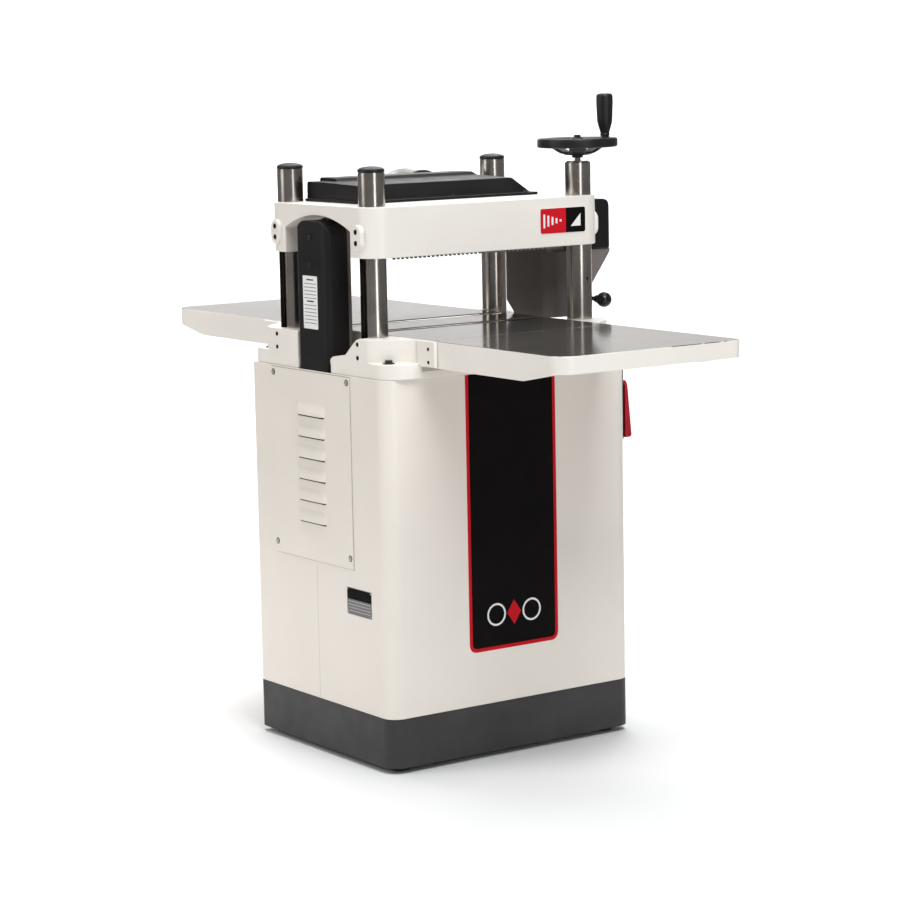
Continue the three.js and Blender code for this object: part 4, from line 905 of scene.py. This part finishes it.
def make_handle():
    node = "handle"
    bottom, top = low(node).z, high(node).z
    ribs = lambda angle, along: 1 + 0.018 * math.cos(14 * angle)
    profile = in_mm(bottom, (4, 0), (8.2, 0), (8.6, 0.5), (8.6, 2.4), (7.7, 4.4), (9.3, 10), (11.3, 16.5))
    grip = [(12.8, 22), (13.5, 27), (13.9, 34), (14.3, 44), (14.7, 54), (14.85, 61), (14.8, 66)]
    profile += in_mm(bottom, *[(radius, up, ribs) for radius, up in grip])
    profile += in_mm(top, (14.7, -6), (14.2, -3.4), (13, -1.6), (10.5, -0.5), (6, 0), (0, 0), (0, -12),
                     (4, -12))
    turned(node, profile, "Z", BLACK_PLASTIC, 112)


# ---- elevating gear inside the cabinet ----
def make_elevating_gear():
    chain = frame["nodes"]["elevation_chain"]
    chain.data.materials.clear()
    chain.data.materials.append(CUT_STEEL)
    node = "chain_idler"
    bottom, top = low(node).z, high(node).z
    teeth = sprocket_teeth(15)
    profile = in_mm(bottom, (0, 0), (5, 0), (5, 5), (11.2, 5, teeth), (11.2, 10, teeth), (5, 10))
    profile += in_mm(top, (5, -1), (4, 0), (0, 0))
    turned(node, profile, "Z", CUT_STEEL, 90)


# ---- head ----
def make_head():
    refined("head_casting", CREAM_CAST, 1.6 * MM, 3)
    make_pad_screws()
    make_badge()
    refined("hood", BLACK_COAT, 1.2 * MM, 3, weld=0.2 * MM)
    make_hood_details()
    refined("dust_chute", BLACK_COAT, 0.8 * MM)
    make_dust_port()
    refined("chip_breaker", CUT_STEEL, 0.5 * MM)
    refined("pressure_bar", GROUND_STEEL, 0.5 * MM)
    refined("kickback_fingers", CUT_STEEL, 0.5 * MM)
    refined("gear_case", CAST_GREY, 1.6 * MM, 3)
    refined("gear_cover", BLACK_COAT, 2.2 * MM, 3)
    make_gear_case_details()


def make_pad_screws():
    node = "head_casting"
    foot = low(node).z
    for name, x, way in (("left", low(node).x, -1), ("right", high(node).x, 1)):
        spots = grid((x,), (-COLUMN_Y, COLUMN_Y), (foot + 45 * MM, foot + 26 * MM))
        fasten(f"nut_screws_{name}", node, set_screw(4.6 * MM), spots, (way, 0, 0), NEAR_BLACK_AND_PAINTED_SHADE)


def make_badge():
    """A two-colour plate with a pale rim and no lettering."""
    node = "head_casting"
    rim, corner, thick, skin = 1.2 * MM, 4 * MM, 0.8 * MM, 0.2 * MM
    x = (CENTRE_X + 107 * MM, CENTRE_X + 208 * MM)
    z = (900.5 * MM, 946.5 * MM)
    left, split, right = x[0] + rim, CENTRE_X + 164 * MM, x[1] - rim
    bottom, top = z[0] + rim, z[1] - rim
    red = rounded([(left, bottom), (split, bottom, 0), (split, top, 0), (left, top)], corner, 6)
    black = rounded([(split, bottom, 0), (right, bottom), (right, top), (split, top, 0)], corner, 6)
    face = low(node).y
    print_on(node, "badge_rim", "Y", rectangle(x, z, corner), face, PRINT_WHITE, thick)
    print_on(node, "badge_red", "Y", red, face - thick, PRINT_RED, skin)
    print_on(node, "badge_black", "Y", black, face - thick, PRINT_BLACK, skin)
    front, level = face - thick - skin, (z[0] + z[1]) / 2
    for k in range(5):
        start, half = left + (6 + 9 * k) * MM, (12 - 2.5 * k) * MM
        bar = rectangle((start, start + 4 * MM), (level - half, level + half), 0)
        print_on(node, f"badge_bar_{k + 1}", "Y", bar, front, PRINT_WHITE, 0.1 * MM)
    centre, half = (split + right) / 2, 11 * MM
    wedge = [(centre - half, level - half), (centre + half, level - half), (centre + half, level + half)]
    print_on(node, "badge_wedge", "Y", wedge, front, PRINT_WHITE, 0.1 * MM)


def make_hood_details():
    corner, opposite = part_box("hood")
    flange = high("head_casting").z + 5 * MM
    across = (corner.x + 22 * MM, CENTRE_X, opposite.x - 26 * MM)
    along = (corner.y + 50 * MM, opposite.y - 30 * MM)
    spots = grid(across, (corner.y + 7 * MM,), (flange,)) + grid((opposite.x - 8 * MM,), along, (flange,))
    fasten("hood_screws", "hood", hex_bolt(3.6 * MM), spots, (0, 0, 1), BLACK_OXIDE, 36)


def make_dust_port():
    node = "dust_port"
    centre = middle(node)
    start, end = low(node).y, high(node).y
    radius = radius_of(node, 0)
    wall = 2 * MM
    bead = 1.2 * MM
    body = radius - bead
    inner = body - wall
    profile = [(0, start), (body - MM, start), (body, start + MM), (body, end - 14 * MM),
               (radius, end - 12 * MM), (radius, end - 10 * MM), (body, end - 8 * MM), (body, end - 0.5 * MM),
               (body - 0.5 * MM, end), (inner, end), (inner, start + wall), (0, start + wall)]
    drum = lathe("shown_dust_port", profile, "Y", (centre.x, centre.z), TURNED_STEEL, 96)
    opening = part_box("dust_chute")
    inlet = rectangle((centre.x - 36 * MM, centre.x + 36 * MM), (968 * MM, 990 * MM), 3 * MM)
    carve(drum, prism("cutter", inlet, "Y", (opening[1].y - MM, start + 5 * MM), TURNED_STEEL))
    drum.data.set_sharp_from_angle(angle=SHARP)
    stand_for(drum, node)


def make_gear_case_details():
    corner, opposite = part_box("gear_cover")
    sunk, inset = 2.9 * MM, 22 * MM
    spots = grid((opposite.x - sunk,), (corner.y + inset, opposite.y - inset),
                 (corner.z + 9 * MM, opposite.z - inset))
    fasten("gear_cover_screws", "gear_cover", cap_screw(3.2 * MM), spots, (1, 0, 0), BLACK_OXIDE)
    plug = [Vector((CENTRE_X + 290 * MM, low("gear_case").y, low("gear_case").z + 74 * MM))]
    fasten("oil_plug", "gear_case", hex_bolt(6 * MM), plug, (0, -1, 0), BLACK_OXIDE, 36)


# ---- cutter and feed ----
def make_cutterhead():
    node = "cutterhead"
    centre = middle(node)
    start, end = low(node).x, high(node).x
    half = 180 * MM
    body, shaft = 32 * MM, 13 * MM
    x0, x1 = CENTRE_X - half, CENTRE_X + half
    outline = [(shaft, start), (shaft, x0), (body, x0), (body, x1), (shaft, x1), (shaft, end)]
    profile = [(0, start), *rounded(outline, MM, 3, False), (0, end)]
    turned(node, profile, "X", TURNED_STEEL, 96)
    rows, count = 4, 12
    pitch = (2 * half - 6 * MM) / count
    shape = bmesh.new()
    for row in range(rows):
        angle = row * 2 * math.pi / rows + math.pi / 4
        turn = Matrix.Rotation(angle, 4, "X")
        for i in range(count):
            x = x0 + 3 * MM + (i + 0.5) * pitch
            size = Matrix.Diagonal((pitch * 0.92, 6 * MM, 7.4 * MM, 1))
            place = Matrix.Translation((x, centre.y, centre.z)) @ turn @ Matrix.Translation((0, 0, 30.5 * MM))
            bmesh.ops.create_cube(shape, size=1, matrix=place @ size)
    knives = from_bmesh("cutter_inserts", shape, GROUND_STEEL)
    fit_to(soften(knives, 0.4 * MM, 2), node)


def vee_pulley(node, outer):
    """A pulley with two grooves in its rim, and its shaft."""
    start, end = low(node).x, high(node).x
    radius = radius_of(node, 2)
    rim_low, rim_high = outer
    groove = 2.2 * MM
    wide = (rim_high - rim_low) / 9
    rim = []
    for k in range(10):
        rim.append((radius - (groove if k % 2 else 0), rim_low + k * wide))
    shaft = 11 * MM if node == "motor_pulley" else 9.5 * MM
    profile = [(0, start), (shaft, start), (shaft, rim_low), *rim, (shaft, rim_high), (shaft, end), (0, end)]
    turned(node, profile, "X", CUT_STEEL, 72)


def make_drive():
    rim = (low("drive_belt").x - MM, high("drive_belt").x + MM)
    for node in ("cutterhead_pulley", "motor_pulley"):
        vee_pulley(node, rim)
    refined("drive_belt", RUBBER, 0.6 * MM)
    for node in ("infeed_roller", "outfeed_roller"):
        refined(node, CUT_STEEL, 0.35 * MM, weld=0.02 * MM)
    refined("belt_guard", BLACK_COAT, 1.2 * MM, 3)
    make_guard_details()
    refined("motor_hanger", CAST_GREY, 0.8 * MM)
    make_motor()


def make_guard_details():
    node = "belt_guard"
    face = low(node).x
    spots = grid((face,), (middle(node).y + 0.5 * MM,), (908.5 * MM, 860.3 * MM))
    fasten("guard_screws", node, cap_screw(3.6 * MM), spots, (-1, 0, 0), BLACK_OXIDE)
    y, z, thick = (-10.5 * MM, 35.5 * MM), (750 * MM, 842 * MM), 0.15 * MM
    print_on(node, "guard_label", "X", rectangle(y, z, 2 * MM), face, PRINT_WHITE, thick)
    for i in range(13):
        level = z[1] - (8 + 6.2 * i) * MM
        inset, tall = (12 * MM, 2.2 * MM) if i in (0, 6) else (4 * MM, 0.9 * MM)
        line = rectangle((y[0] + inset, y[1] - inset), (level, level + tall), 0)
        name = f"guard_label_rule_{i + 1}"
        print_on(node, name, "X", line, face - thick, PRINT_BLACK, 0.05 * MM)


def make_motor():
    node = "motor"
    corner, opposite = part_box(node)
    radius = (opposite.z - corner.z) / 2
    centre_y = corner.y + radius
    centre_z = middle(node).z
    start, end = corner.x, opposite.x
    ribs = lambda angle, along: 1 - 0.05 * (0.5 + 0.5 * math.cos(36 * angle)) ** 0.4
    profile = [(0, start), (70 * MM, start), (radius * 0.96, start + 3 * MM), (radius, start + 8 * MM),
               (radius, start + 26 * MM), (radius, start + 28 * MM, ribs), (radius, end - 46 * MM, ribs),
               (radius, end - 44 * MM), (radius, end - 38 * MM)]
    profile += in_mm(end, (76, -34), (76, -8), (72, -3), (64, 0), (0, 0))
    turned(node, profile, "X", MOTOR_PAINT, 288, (centre_y, centre_z))
    box_x = (CENTRE_X - 120 * MM, CENTRE_X - 30 * MM)
    box_z = (centre_z - 35 * MM, centre_z + 35 * MM)
    box = prism("motor_terminal_box", rectangle(box_x, box_z, 6 * MM), "Y", (centre_y + 60 * MM, opposite.y),
                MOTOR_PAINT, 2 * MM)
    fit_to(box, node)


def make_shift_knob():
    node = "shift_knob"
    start, end = low(node).y, high(node).y
    ball = radius_of(node, 0, 2)
    hub = start + ball
    turns = [math.pi * k / 24 for k in range(1, 20)]
    arc = [(ball * math.sin(t), hub - ball * math.cos(t)) for t in turns]
    profile = [(0, start), *arc]
    profile += in_mm(hub, (6.3, 14), (6.3, 16), (7.5, 16.4), (7.5, 19.6), (6.3, 20), (6.3, 23.4), (4, 24))
    profile += in_mm(end, (4, -0.5), (3.5, 0), (0, 0))
    turned(node, profile, "Y", GLOSS_BLACK, 64)


# ---- switch ----
def make_switch():
    refined("switch_box", BLACK_PLASTIC, 1.0 * MM, 3)
    refined("stop_paddle", RED_PLASTIC, 2.0 * MM, 4)
    node = "start_button"
    start, end = low(node).x, high(node).x
    radius = radius_of(node, 2)
    profile = [(0, start), (radius, start), (radius, end - 1.2 * MM), (radius - 0.4 * MM, end - 0.4 * MM),
               (radius - 1.2 * MM, end), (radius * 0.6, end - 0.3 * MM), (0, end - 0.7 * MM)]
    turned(node, profile, "X", GREEN_PLASTIC, 48)
    corner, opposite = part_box("switch_box")
    spots = grid((opposite.x,), (corner.y + 6 * MM, opposite.y - 6 * MM),
                 (corner.z + 3.5 * MM, opposite.z - 5 * MM))
    fasten("switch_screws", "switch_box", pan_screw(2.4 * MM), spots, (1, 0, 0), ZINC)


# ---- stage: floor, light and camera ----
def make_stage():
    """A white roll of paper that lies under the machine and curves up behind it."""
    paper = Finish("studio_paper")
    paper.colour(paper.noise(2), (0.79, 0.79, 0.79), (0.81, 0.81, 0.81))
    paper.shader.inputs["Roughness"].default_value = 0.9
    paper.shader.inputs["Specular IOR Level"].default_value = 0.1
    start, back, bend, tall, half = -4.2, 2.4, 1.6, 4.0, 2.3
    curve = [math.pi / 2 * k / 16 for k in range(1, 17)]
    line = [(start, 0.0), (back, 0.0)]
    line += [(back + bend * math.sin(t), bend - bend * math.cos(t)) for t in curve]
    line += [(back + bend, tall)]
    turn = Matrix.Rotation(CAMERA_AZIMUTH, 4, "Z")
    sweep = bmesh.new()
    rows = [[sweep.verts.new(turn @ Vector((s * half, along, up))) for along, up in line] for s in (-1, 1)]
    for i in range(len(line) - 1):
        sweep.faces.new([rows[0][i], rows[0][i + 1], rows[1][i + 1], rows[1][i]])
    from_bmesh("studio_paper", sweep, paper.material)


LIGHTS_AIM = Vector((0, 0, 0.6))
BACKDROP_AIM = Vector((0.6, 3.6, 0.3))


def area_light(name, turn, distance, height, size, power, colour=(1, 1, 1)):
    """A soft box at an angle round from the camera, pointing at the machine's axis."""
    angle = CAMERA_AZIMUTH + math.radians(turn)
    place = Vector((math.sin(angle) * distance, -math.cos(angle) * distance, height))
    data = bpy.data.lights.new(name, "AREA")
    data.shape = "RECTANGLE"
    data.size, data.size_y = size
    data.energy = power
    data.color = colour
    light = bpy.data.objects.new(name, data)
    light.location = place
    light.rotation_mode = "QUATERNION"
    light.rotation_quaternion = (LIGHTS_AIM - place).to_track_quat("-Z", "Y")
    bpy.context.scene.collection.objects.link(light)
    return light


def make_lights():
    world = bpy.data.worlds.new("studio")
    world.use_nodes = True
    world.node_tree.nodes["Background"].inputs["Color"].default_value = (1.0, 1.0, 1.0, 1)
    world.node_tree.nodes["Background"].inputs["Strength"].default_value = 0.2
    bpy.context.scene.world = world
    bpy.context.scene.view_settings.view_transform = "Standard"
    area_light("left_soft_box", -72, 2.9, 2.0, (1.3, 2.4), 35, (1.0, 0.985, 0.955))
    area_light("front_soft_box", 24, 2.1, 3.2, (1.8, 1.6), 84, (0.945, 0.98, 1.0))
    area_light("strip_box", 26, 3.3, 1.0, (0.7, 2.0), 15)
    area_light("top_soft_box", 180, 0.4, 3.6, (2.6, 2.6), 44)
    backdrop = area_light("backdrop_light", 180, 1.6, 3.4, (3.6, 1.2), 165)
    backdrop.rotation_quaternion = (BACKDROP_AIM - backdrop.location).to_track_quat("-Z", "Y")


CAMERA_AZIMUTH = math.radians(-35.06)
CAMERA_ELEVATION = math.radians(8.27)
CAMERA_ROLL = math.radians(-1.126)
CAMERA_DISTANCE = 4.8896
CAMERA_TARGET = Vector((CENTRE_X - 27.3 * MM, -70.1 * MM, 523.8 * MM))


def make_camera():
    """The view from the front left, at the height of the table."""
    back = Vector((math.sin(CAMERA_AZIMUTH) * math.cos(CAMERA_ELEVATION),
                   -math.cos(CAMERA_AZIMUTH) * math.cos(CAMERA_ELEVATION), math.sin(CAMERA_ELEVATION)))
    level = Vector((math.cos(CAMERA_AZIMUTH), math.sin(CAMERA_AZIMUTH), 0))
    upright = back.cross(level)
    right = level * math.cos(CAMERA_ROLL) + upright * math.sin(CAMERA_ROLL)
    up = upright * math.cos(CAMERA_ROLL) - level * math.sin(CAMERA_ROLL)
    data = bpy.data.cameras.new("camera")
    data.lens = 110.68
    data.sensor_width = 36
    camera = bpy.data.objects.new("camera", data)
    camera.matrix_world = Matrix.Translation(CAMERA_TARGET + back * CAMERA_DISTANCE) @ Matrix(
        (right, up, back)).transposed().to_4x4()
    bpy.context.scene.collection.objects.link(camera)
    bpy.context.scene.camera = camera


make_camera()
make_stage()
make_lights()
make_stand()
make_bed()
make_columns()
make_handwheel()
make_handle()
make_elevating_gear()
make_head()
make_cutterhead()
make_drive()
make_shift_knob()
make_switch()
